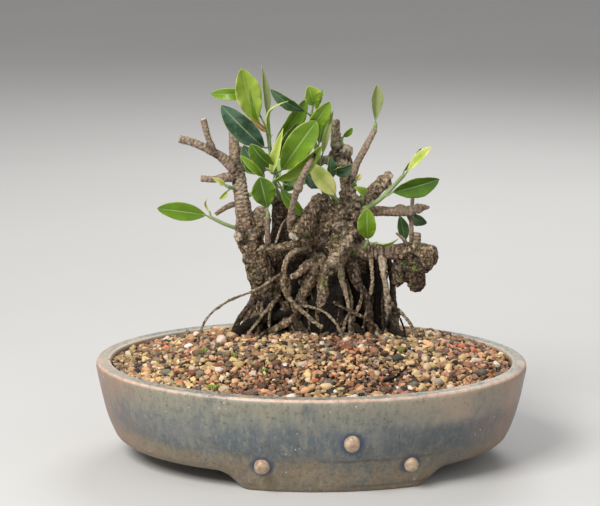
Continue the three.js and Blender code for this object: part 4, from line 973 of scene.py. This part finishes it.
def closeness(place, spot, reach, core):  # 1 within this share of a spot's reach, 0 past the reach
    return 1 - share(reach * core, reach, (place - Vector(spot)).length)


def sawn(place, normal):  # how fresh the cut is here
    cut = 0
    for middle, wide, way, fresh in tree["cutFaces"]:
        away = (place - Vector(middle)).length
        if away < wide + 1.5 and normal.dot(Vector(way).normalized()) > 0.45:
            cut = max(cut, fresh * (1 - share(wide - 0.6, wide + 1, away)))
    return cut


def relief(place, size, torn):  # swellings, furrows and grain, in millimetres
    lump = noise.noise(place * 0.1) * tree["lump"] * size * 1.5
    lump += torn * (abs(noise.noise(place * 0.2)) * 4.4 - 1.6 + noise.noise(place * 0.5) * 1.1)
    furrow = (abs(noise.noise(Vector((place.x * 0.34, place.y * 0.34, place.z * 0.15)))) - 0.25) * 1.7
    grain = noise.noise(place * 0.55) * 0.5 + noise.noise(place * 1.1) * 0.26
    return lump, furrow * tree["furrow"] * size, grain


def rings(place, travelled, radius, depth):  # ridges round the limb, that fade here and there
    turns = travelled / tree["ringPitch"] + noise.noise(place * 0.13) * 1.2
    ring = sin(2 * pi * turns) * tree["ring"] * depth * min(1, radius / 6)
    return ring * (0.45 + 0.55 * share(-0.2, 0.4, noise.noise(place * 0.05 + Vector((9, 2, 4)))))


def mossAt(place, normal, low):  # over 1 where the moss is bright
    damp = noise.noise(place * 0.07 + Vector((3, 8, 1)))
    green = share(0.1, 0.7, normal.z * 0.6 + damp) * (1 - 0.8 * share(184, 208, low))
    return green + 2 * sum(closeness(place, *spot, 0.5) for spot in tree["mossSpots"])


def weather(mesh, routes, look):  # raises the bark, and tells the finish about it
    axis, near = limbAxis(routes)
    told = {name: [] for name in ("tone", "joint", "hollow", "cut", "moss", "ring", "torn", "young")}
    moves = []
    for vertex in mesh.vertices:
        place, normal = vertex.co / mm, vertex.normal
        ranked = limbsAt(place, axis, near)
        off, travelled, radius, number = ranked[0]
        low = place.z + 10 * noise.noise(place * 0.08)
        joint = 1 - share(0, tree["jointReach"], ranked[1][0] - off) if len(ranked) > 1 else 0
        cut = sawn(place, normal)
        torn = closeness(place, *tree["tornHead"], 0.6)
        dead = max(closeness(place, *tip, 0.4) for tip in tree["deadTips"])
        young = 0
        if number in look["young"]:
            young = share(*look["young"][number], low) * (1 - torn) * (1 - dead)
        if number in tree["roughEnds"]:
            young *= 1 - share(*tree["roughEnds"][number], place.x)
        parts = relief(place, min(1, radius / 7), torn)
        lump, furrow, grain = (part * (1 - 0.55 * young) for part in parts)
        ring = rings(place, travelled, radius, look["ringed"]) * (1 - torn)
        rise = (lump + furrow + grain + ring) * (1 - 0.85 * cut) - joint * tree["jointDepth"]
        moves.append(normal * rise * mm)
        # near black low on the trunk limbs: painted shade in the cavities between the root columns
        core = 1 - share(*look["paintedShadeHeights"][number], low) if number in look["paintedShadeHeights"] else 0
        # paler and darker patches of wood, and painted shade under the stump head
        spotToneAndShade = sum(more * closeness(place, spot, reach, 0.4) for spot, reach, more in tree["toneAndShadeSpots"])
        # paler towards the top and on the torn head, darker towards the bottom
        heightShift = 0.23 * share(186, 226, low) - 0.06 * (1 - share(138, 185, low)) + 0.05 * torn
        tone = look["tones"].get(number, look["tone"]) + heightShift
        told["tone"].append(tone * (1 - 0.98 * core) * (1 - 0.9 * dead) * (1 + spotToneAndShade))
        told["hollow"].append(1 - share(-0.7, 0.5, furrow + grain + ring))
        told["ring"].append(0.5 + 0.5 * ring / tree["ring"])
        told["moss"].append(mossAt(place, normal, low) * (1 - cut))
        for name, value in (("joint", joint), ("cut", cut), ("torn", torn), ("young", young)):
            told[name].append(value)
    for vertex, move in zip(mesh.vertices, moves):
        vertex.co += move
    for name, values in told.items():
        tell(mesh, name, values)


def barkFinish():
    f = Finish("weathered bark")
    tone, joint, hollow, cut, moss, ring, torn, young = (
        f.told(name) for name in ("tone", "joint", "hollow", "cut", "moss", "ring", "torn", "young"))
    tones = tree["colours"]
    patch = f.noise(60, 5, 0.7)
    fleck = f.noise(420, 5, 0.75)
    fibre = f.noise(260, 4, 0.7, (1, 1, 0.3))
    grain = f.noise(850, 3, 0.8)
    crumb = f.cells(300)
    value = tone + (patch - 0.5) * 0.75 * tone.band(0.02, 0.4) + (fleck - 0.5) * 2.1 * tone.band(-0.35, 0.5)
    value = value + (fibre - 0.5) * 0.5 * tone + (ring - 0.5) * 0.14 + (grain - 0.5) * 1.1 * tone.band(0, 0.5)
    colour = f.ramp(value, tree["barkTones"])
    rosy = f.noise(38, 3, 0.6).band(0.5, 0.7) * tone.band(0.2, 0.5)
    colour = f.mix(rosy * 0.28, colour, tones["rosy"])
    supple = f.mix(ring.band(0.1, 0.9), *tones["young"])
    supple = f.mix(fibre.band(0.4, 0.62) * 0.4, supple, tones["youngFibre"])
    colour = f.mix(young * 0.6, colour, supple)
    chips = f.noise(310, 4, 0.75).band(0.52, 0.6) * torn
    colour = f.mix(chips * 0.55, colour, tones["chips"])
    lichen = f.noise(340, 4, 0.8).band(0.585, 0.65) * f.noise(30, 3, 0.6).band(0.4, 0.6)
    colour = f.mix(lichen * tone.band(0.25, 0.5) * 0.75, colour, tones["lichen"])
    grey = f.noise(95, 4, 0.65).band(0.54, 0.66) * tone.band(0.1, 0.5)
    colour = f.mix(grey * 0.5, colour, tones["grey"])
    tuft = f.noise(130, 5, 0.7).band(0.42, 0.58)
    mossy = (moss.least(1) * tuft).least(1) * tone.band(0.04, 0.3)
    mossShade = fleck.band(0.35, 0.65)
    colour = f.mix(mossy * 0.65, colour, f.mix(mossShade, *tones["moss"]))
    # painted shade: darker in the furrows and where limbs meet
    colour = f.mix((hollow * 0.68 + joint * 0.5).least(0.92), colour, tones["hollow"])
    crest = (1 - hollow).band(0.72, 1) * fleck.band(0.48, 0.62) * tone.band(0.3, 0.6)
    colour = f.mix(crest * 0.5, colour, tones["crest"])
    vivid = moss.band(1.2, 2) * f.noise(240, 4, 0.7).band(0.46, 0.56)
    colour = f.mix(vivid * 0.85, colour, f.mix(mossShade, *tones["brightMoss"]))
    fresh = f.mix(cut.band(0.6, 0.9) * 0.8, f.ramp(f.noise(180, 3, 0.6), tree["cutTones"]), tones["freshest"])
    colour = f.mix(cut * 0.95, colour, fresh)
    # painted shade: near black in the small pits of the bark
    pitted = crumb.band(0.42, 0.62) * patch.band(0.4, 0.6) * (1 - young * 0.85)
    colour = f.mix(pitted * 0.66, colour, tones["pits"])
    height = fleck * 0.8 + fibre * 0.6 + patch * 0.4 + grain * 0.3 - crumb * 0.5
    rough = 0.72 + fleck * 0.2 - joint * 0.1
    return f.done(base_color=colour, roughness=rough, specular_ior_level=0.22, normal=f.bump(height, 2))


weathered = barkFinish()
limbs = tree["trunk"] + tree["left"] + tree["upper"] + tree["right"]
trunk = grown("trunk_and_limbs", limbs, tree["lumps"])
weather(trunk, limbs, tree["limbLook"])
shown("trunk_and_limbs", trunk, [weathered], ["tree"])
print("trunk and limbs grown:", len(trunk.polygons), "faces")

dice = random.Random(tree["seed"])
roots = tree["roots"] + fineRoots(dice)
rootLook = tree["rootLook"]
for number in range(len(tree["roots"]), len(roots)):
    rootLook["tones"][number] = dice.choice(tree["fineTones"])
rooted = grown("aerial_roots", roots, [])
weather(rooted, roots, rootLook)
shown("aerial_roots", rooted, [weathered], ["tree"])
print("roots grown:", len(rooted.polygons), "faces")


# Leaves: waxy blades on their stalks, shoot by shoot
leaf = {
    "across": 12,
    "along": 26,
    "thickness": 0.6,
    "stalk": (0.9, 0.75, 0.65, 0.4),  # its radius from the stem to the blade
    "stalkSag": 0.5,
    "ripple": 0.035,
    "outlines": {  # half the width of a blade, as a share of its widest, from base (0) to tip (1)
        "oval": lambda t: sin(pi * t) ** 0.62 * (1 - 0.3 * (1 - t) ** 6),
        "pointed": lambda t: sin(pi * t**1.12) ** 0.68 * (1 - 0.25 * (1 - t) ** 5),
        "spear": lambda t: sin(pi * t**0.7) ** 0.9,
        "round": lambda t: sin(pi * t**1.15) ** 0.55,
        "spoon": lambda t: sin(pi * t**1.4) ** 0.72,
    },
    "above": [  # colours by tint, from dark green to pale yellow, then orange-brown and silver-green
        (0.0, (0.006, 0.022, 0.012)), (0.2, (0.016, 0.06, 0.022)), (0.4, (0.05, 0.125, 0.01)),
        (0.58, (0.135, 0.25, 0.008)), (0.7, (0.34, 0.46, 0.06)), (0.8, (0.68, 0.68, 0.26)),
        (0.9, (0.3, 0.12, 0.035)), (1.0, (0.24, 0.29, 0.11))],
    "below": [
        (0.0, (0.06, 0.14, 0.07)), (0.32, (0.13, 0.27, 0.08)), (0.6, (0.3, 0.45, 0.12)),
        (0.8, (0.6, 0.6, 0.28)), (0.9, (0.36, 0.16, 0.06)), (1.0, (0.34, 0.4, 0.2))],
    # painted bluish sheen for the dark leaves
    "bluishSheen": (0.22, 0.35, 0.29),
    "veins": ((0.3, 0.42, 0.12), (0.4, 0.52, 0.2), (0.55, 0.6, 0.32)),  # side veins, midrib, both below
    "margin": (0.5, 0.56, 0.22),
    "worn": (0.2, 0.14, 0.05),
}
shoots = {  # a leaf is start and base of its stalk, tip, width, tint, roll, fold, bow and outline
    "shoot_left": {
        "stem": [(-52, 30, 170, 1.8), (-59, 27, 176, 1.6), (-70, 24, 181, 1.5), (-82, 24, 187, 1.3)],
        "leaves": [
            ((-80, 24, 186), (-84, 23, 188), (-122, 13, 195), 15, 0.63, 18, 10, 0.03, "oval"),
            ((-80, 24, 186), (-81, 24, 190), (-82, 20, 203), 3, 0.95, 60, 16, -0.3, "spear"),
        ]},
    "shoot_crown": {
        "stem": [(-25, 52, 196, 2.4), (-30, 34, 210, 2), (-29, 24, 222, 1.8), (-32, 19, 234, 1.7),
                 (-34, 18, 246, 1.5), (-36, 18, 258, 1.3)],
        "leaves": [
            ((-36, 18, 256), (-44, 18, 262), (-56, 13, 306), 22, 0.82, 22, 14, -0.05, "pointed"),
            ((-36, 18, 256), (-40, 12, 260), (-49, 4, 293), 8, 0.68, -50, 34, 0.02, "spear"),
            ((-36, 19, 258), (-49, 24, 284), (-80, 27, 284), 10, 0.72, 8, 16, 0.3, "oval"),
            ((-36, 18, 256), (-36, 23, 270), (-40, 21, 307), 8, 1.48, 40, 30, 0, "spear"),
            ((-34, 18, 244), (-38, 14, 244), (-71, 1, 279), 20, 0.22, -6, 12, 0.06, "oval"),
            ((-33, 18, 240), (-33, 10, 252), (-19, -2, 283), 7, 0.8, 74, 20, -0.3, "spear"),
            ((-32, 20, 236), (-30, 19, 245), (-5, 31, 280), 16, 0.66, 24, 18, 0.06, "oval"),
            ((-29, 22, 222), (-24, 16, 226), (3, 9, 266), 22, 0.68, -10, 12, 0.03, "round"),
            ((-29, 22, 222), (-30, 6, 219), (7, -6, 249), 15, 0.74, 30, 24, 0.12, "pointed"),
            ((-29, 24, 222), (-32, 11, 225), (-23, 2, 261), 8.5, 0.92, -20, 26, 0.02, "spear"),
            ((-32, 19, 234), (-31, 12, 229), (-48, 0, 249), 15, 0.55, -24, 10, 0.08, "round"),
            ((-35, 18, 254), (-36, 11, 257), (-49, 3, 269), 5, 1.12, 10, 30, 0.05, "spear"),
            ((-31, 20, 232), (-28, 20, 234), (-12, 22, 262), 13, 0.55, 20, 16, 0.05, "oval"),
            ((-29, 28, 217), (-22, 30, 206), (-7, 28, 230), 15, 0.5, 8, 16, 0.06, "oval"),
            ((-29, 32, 212), (-25, 32, 208), (-6, 32, 186), 11, 0.62, 10, 18, 0.1, "oval"),
            ((-29, 24, 222), (-21, 22, 213), (6, 22, 228), 15, 0.46, -12, 14, 0.06, "oval"),
            ((-30, 22, 226), (-36, 26, 224), (-58, 34, 226), 11, 0.5, 14, 14, -0.08, "oval"),
        ]},
    "shoot_crown_right": {
        "stem": [(13, 38, 196, 2.6), (6, 31, 216, 2), (3, 27, 240, 1.8), (-1, 24, 257, 1.6),
                 (-1, 24, 271, 1.3)],
        "leaves": [
            ((-1, 24, 268), (-6, 18, 272), (-33, 1, 292), 11, 0.35, -24, 8, 0.1, "pointed"),
            ((-1, 24, 269), (0, 21, 276), (-4, 17, 292), 16, 0.76, 26, 20, 0.1, "pointed"),
            ((-1, 24, 257), (-3, 17, 257), (13, 10, 281), 14, 0.7, 10, 16, 0.06, "oval"),
            ((-1, 24, 269), (3, 26, 272), (8, 31, 287), 9, 0.7, -40, 20, 0.1, "oval"),
            ((3, 27, 238), (5, 25, 246), (11, 20, 277), 15, 0.72, 14, 20, -0.04, "oval"),
            ((5, 29, 228), (8, 15, 240), (16, 12, 274), 7, 1.48, -14, 40, 0, "spear"),
        ]},
    "shoot_low_left": {
        "stem": [(-50, 30, 203, 1.8), (-44, 24, 208, 1.6), (-38, 18, 216, 1.5)],
        "leaves": [
            ((-39, 18, 215), (-38, 20, 221), (-54, 13, 246), 17, 0.34, -20, 18, 0.08, "pointed"),
            ((-39, 18, 215), (-38, 14, 220), (-56, 5, 239), 7.5, 0.74, 10, 28, 0.1, "pointed"),
        ]},
    "leaf_front": {
        "stem": [(-35, 10, 187, 1.7), (-35, 10, 191, 1.5), (-35, 10, 194, 1.3)],
        "leaves": [((-35, 10, 192), (-35, 9, 196), (-41, 0, 223), 20, 0.58, 8, 12, 0.02, "spoon")]},
    "leaf_yellowing": {
        "stem": [(20, 30, 197, 1.6), (20, 20, 200, 1.4), (19, 14, 204, 1.2)],
        "leaves": [((19, 14, 203), (18, 12, 207), (-3, 0, 234), 15, 0.95, 12, 10, 0.08, "oval")]},
    "leaves_inner_dark": {
        "stem": [(18, 30, 200, 2.2), (12, 26, 210, 1.8), (12, 24, 220, 1.5)],
        "leaves": [
            ((12, 25, 216), (15, 22, 225), (31, 13, 231), 13, 0.3, 34, 22, 0.16, "oval"),
            ((12, 26, 210), (8, 22, 211), (-6, 12, 225), 12, 0.18, -20, 14, 0.08, "oval"),
            ((12, 25, 214), (13, 19, 217), (13, 12, 237), 11, 0.36, 40, 18, 0.08, "oval"),
        ]},
    "leaf_small_top": {
        "stem": [(25, 32, 240, 1.2), (23, 31, 246, 1.1), (23, 31, 250, 1)],
        "leaves": [((23, 31, 248), (24, 31, 250), (31, 27, 258), 5.5, 0.7, 20, 20, 0.08, "round")]},
    "leaf_spear": {
        "stem": [(48, 27, 254, 1.8), (49, 27, 258, 1.6), (49, 26, 262, 1.5)],
        "leaves": [((49, 27, 259), (49, 26, 263), (50, 23, 293), 11, 1.48, 12, 30, 0, "spoon")]},
    "shoot_right": {
        "stem": [(35, 32, 190, 2.6), (46, 25, 196, 2), (57, 23, 205, 1.8), (72, 20, 222, 1.5)],
        "leaves": [
            ((70, 20, 220), (74, 19, 224), (93, 11, 246), 9, 0.93, -34, 30, 0.04, "pointed"),
            ((70, 20, 220), (72, 21, 225), (85, 22, 243), 8, 0.7, 30, 24, 0.06, "oval"),
            ((57, 22, 204), (63, 20, 208), (99, 7, 221), 18, 0.5, 14, 16, 0.05, "pointed"),
        ]},
    "leaf_curled": {
        "stem": [(38, 40, 192, 2), (39, 30, 197, 1.5), (40, 21, 203, 1.2)],
        "leaves": [((40, 22, 201), (40, 20, 204), (33, 9, 214), 9, 0.8, 40, 26, 0.2, "oval")]},
    "leaf_oval_right": {
        "stem": [(40, 32, 160, 2), (42, 22, 163, 1.6), (44, 18, 169, 1.4)],
        "leaves": [((44, 18, 167), (44, 17, 171), (43, 9, 197), 15.5, 0.69, -8, 16, 0.1, "round")]},
    "leaves_right_back": {
        "stem": [(56, 36, 189, 1.8), (62, 42, 189, 1.6), (69, 46, 187, 1.4)],
        "leaves": [
            ((68, 45, 187), (70, 45, 184), (74, 43, 164), 10, 0.42, -14, 18, 0.1, "oval"),
            ((67, 45, 187), (75, 49, 187), (92, 54, 176), 11, 0.35, 20, 16, 0.08, "oval"),
        ]},
    "leaf_limb_strip": {
        "stem": [(48, 30, 162, 1.8), (46, 21, 166, 1.4), (47, 18, 167, 1.2)],
        "leaves": [((46, 20, 166), (50, 17, 168), (68, 9, 173), 5, 0.75, 50, 24, 0.14, "spear")]},
    "buds_left": {
        "stem": [(-58, 30, 208, 1.6), (-64, 24, 210, 1.5), (-68, 21, 212, 1.3)],
        "leaves": [
            ((-66, 22, 211), (-69, 20, 213), (-79, 15, 220), 5, 0.95, 20, 20, 0.08, "spear"),
            ((-65, 23, 210), (-67, 21, 208), (-73, 18, 202), 4.5, 0.9, -20, 20, 0.08, "round"),
        ]},
    "bud_upper": {
        "stem": [(31, 32, 210, 1.3), (33, 25, 214, 1.2), (34, 22, 216, 1.1)],
        "leaves": [((34, 23, 215), (34, 22, 217), (38, 18, 223), 4.5, 1, 10, 24, 0.08, "round")]},
    "shoot_back": {
        "stem": [(-24, 62, 194, 2.2), (-22, 70, 206, 1.8), (-16, 76, 220, 1.5)],
        "leaves": [
            ((-17, 75, 218), (-15, 77, 223), (-4, 80, 254), 18, 0.5, 172, 14, 0.08, "pointed"),
            ((-22, 70, 206), (-26, 76, 210), (-44, 90, 226), 15, 0.58, 160, 14, 0.08, "oval"),
            ((-18, 74, 214), (-10, 80, 214), (12, 92, 222), 15, 0.42, 190, 14, 0.08, "oval"),
        ]},
}


def layBlade(bm, told, blade):
    _, base, tip, width, tint, roll, fold, bow, outline = blade
    root = Vector(base)
    axis = Vector(tip) - root
    length = axis.length
    axis.normalize()
    front = (Vector((0, -1, 0)) + axis * axis.y).normalized()
    facing = Matrix.Rotation(radians(roll), 3, axis) @ front
    side = facing.cross(axis)
    lift = radians(fold)
    rim = []
    for top in (1, -1):
        made = bmesh.ops.create_grid(bm, x_segments=leaf["across"], y_segments=leaf["along"], size=1)
        for vertex in made["verts"]:
            u, t = vertex.co.x, (vertex.co.y + 1) / 2
            for key, value in (("across", u), ("along", t), ("under", (1 - top) / 2), ("tint", tint)):
                vertex[told[key]] = value
            half = max(0.45 * (1 - 0.6 * t), width / 2 * leaf["outlines"][outline](t))
            ripple = sin(5 * pi * t + 2 * u) + 0.6 * sin(11 * pi * t + 5 * u + length)
            rise = half * (abs(u) ** 1.25 * sin(lift) + 0.08 * u * u) + bow * length * sin(pi * t)
            rise += leaf["ripple"] * width * u * u * ripple * sin(pi * t)
            rise -= 0.3 * exp(-((u * half / 0.7) ** 2)) * (1 - 0.5 * t)  # the groove along the midrib
            thick = leaf["thickness"] / 2 * (1 - 0.55 * u * u)
            place = root + axis * (length * t) + side * (half * u * cos(lift))
            vertex.co = (place + facing * (rise + top * thick)) * mm
        faces = list({face for vertex in made["verts"] for face in vertex.link_faces})
        rim += [edge for edge in {e for face in faces for e in face.edges} if edge.is_boundary]
    bmesh.ops.bridge_loops(bm, edges=rim)


def stalkOf(blade):
    start, base, tip = (Vector(point) for point in blade[:3])
    middle = (start + base) / 2 + Vector((0, 0, -leaf["stalkSag"]))
    points = (start, middle, base, base.lerp(tip, 0.1))
    return [(*point, radius) for point, radius in zip(points, leaf["stalk"])]


def shootMesh(name, shoot):
    bm = bmesh.new()
    told = {key: bm.verts.layers.float.new(key) for key in ("across", "along", "under", "tint")}
    for blade in shoot["leaves"]:
        layBlade(bm, told, blade)
    blades = len(bm.faces)
    bm.from_mesh(tubes(name, [shoot["stem"]] + [stalkOf(blade) for blade in shoot["leaves"]], 2, 2))
    bmesh.ops.remove_doubles(bm, verts=bm.verts, dist=1e-6)
    bmesh.ops.recalc_face_normals(bm, faces=bm.faces)
    for number, face in enumerate(bm.faces):
        face.material_index = 0 if number < blades else 1
    return meshFrom(name, bm)


def leafFinish():
    f = Finish("waxy leaf")
    across, along, under, tint = (f.told(name) for name in ("across", "along", "under", "tint"))
    wide = abs(across)
    blotch = f.noise(70, 4, 0.6)
    fine = f.noise(900, 2)
    value = (tint + (blotch - 0.5) * 0.3 + (wide - 0.5) * 0.1) * 0.8
    slant = along * 13 - wide * 2.4
    vein = abs(slant.fraction() - 0.5).band(0.34, 0.5) * (1 - wide.band(0.7, 0.95))
    midrib = 1 - wide.band(0.015, 0.085)
    # painted sheen: a bluish veil over the dark leaves, where light reflects
    bluishSheen = blotch.band(0.35, 0.6) * (1 - tint.band(0.28, 0.5))
    above = f.mix(bluishSheen * 0.28, f.ramp(value, leaf["above"]), leaf["bluishSheen"])
    above = f.mix(vein * 0.03, above, leaf["veins"][0])
    above = f.mix(midrib * 0.5, above, leaf["veins"][1])
    below = f.mix((vein * 0.35 + midrib * 0.6).least(1), f.ramp(value, leaf["below"]), leaf["veins"][2])
    colour = f.mix(under.band(0.4, 0.6), above, below)
    colour = f.mix(wide.band(0.9, 0.985) * 0.5, colour, leaf["margin"])
    worn = f.noise(150, 3, 0.7).band(0.66, 0.74)
    colour = f.mix(worn * 0.5, colour, leaf["worn"])
    rough = 0.3 + under * 0.25 + fine * 0.08 + worn * 0.2
    height = (vein * 0.16 + midrib * 0.6) * (1 - under * 2) + fine * 0.08 + blotch * 0.25
    normal = f.bump(height, 0.3, 0.8)
    return f.done(base_color=colour, roughness=rough, specular_ior_level=0.34, normal=normal)


def stemFinish():
    f = Finish("young stem")
    woody = f.noise(60, 3, 0.6).band(0.4, 0.62)
    fine = f.noise(400, 3, 0.6)
    colour = f.mix(woody * 0.7, (0.19, 0.34, 0.045), (0.22, 0.2, 0.07))
    colour = f.mix(fine.band(0.5, 0.7) * 0.5, colour, (0.42, 0.4, 0.22))
    return f.done(base_color=colour, roughness=0.5 + fine * 0.15, normal=f.bump(fine, 0.25, 0.7))


waxy, greenStem = leafFinish(), stemFinish()
for name, shoot in shoots.items():
    shown(name + "_grown", shootMesh(name, shoot), [waxy, greenStem], [name])
print("leaves grown:", sum(len(shoot["leaves"]) for shoot in shoots.values()))

print("all pieces in place")
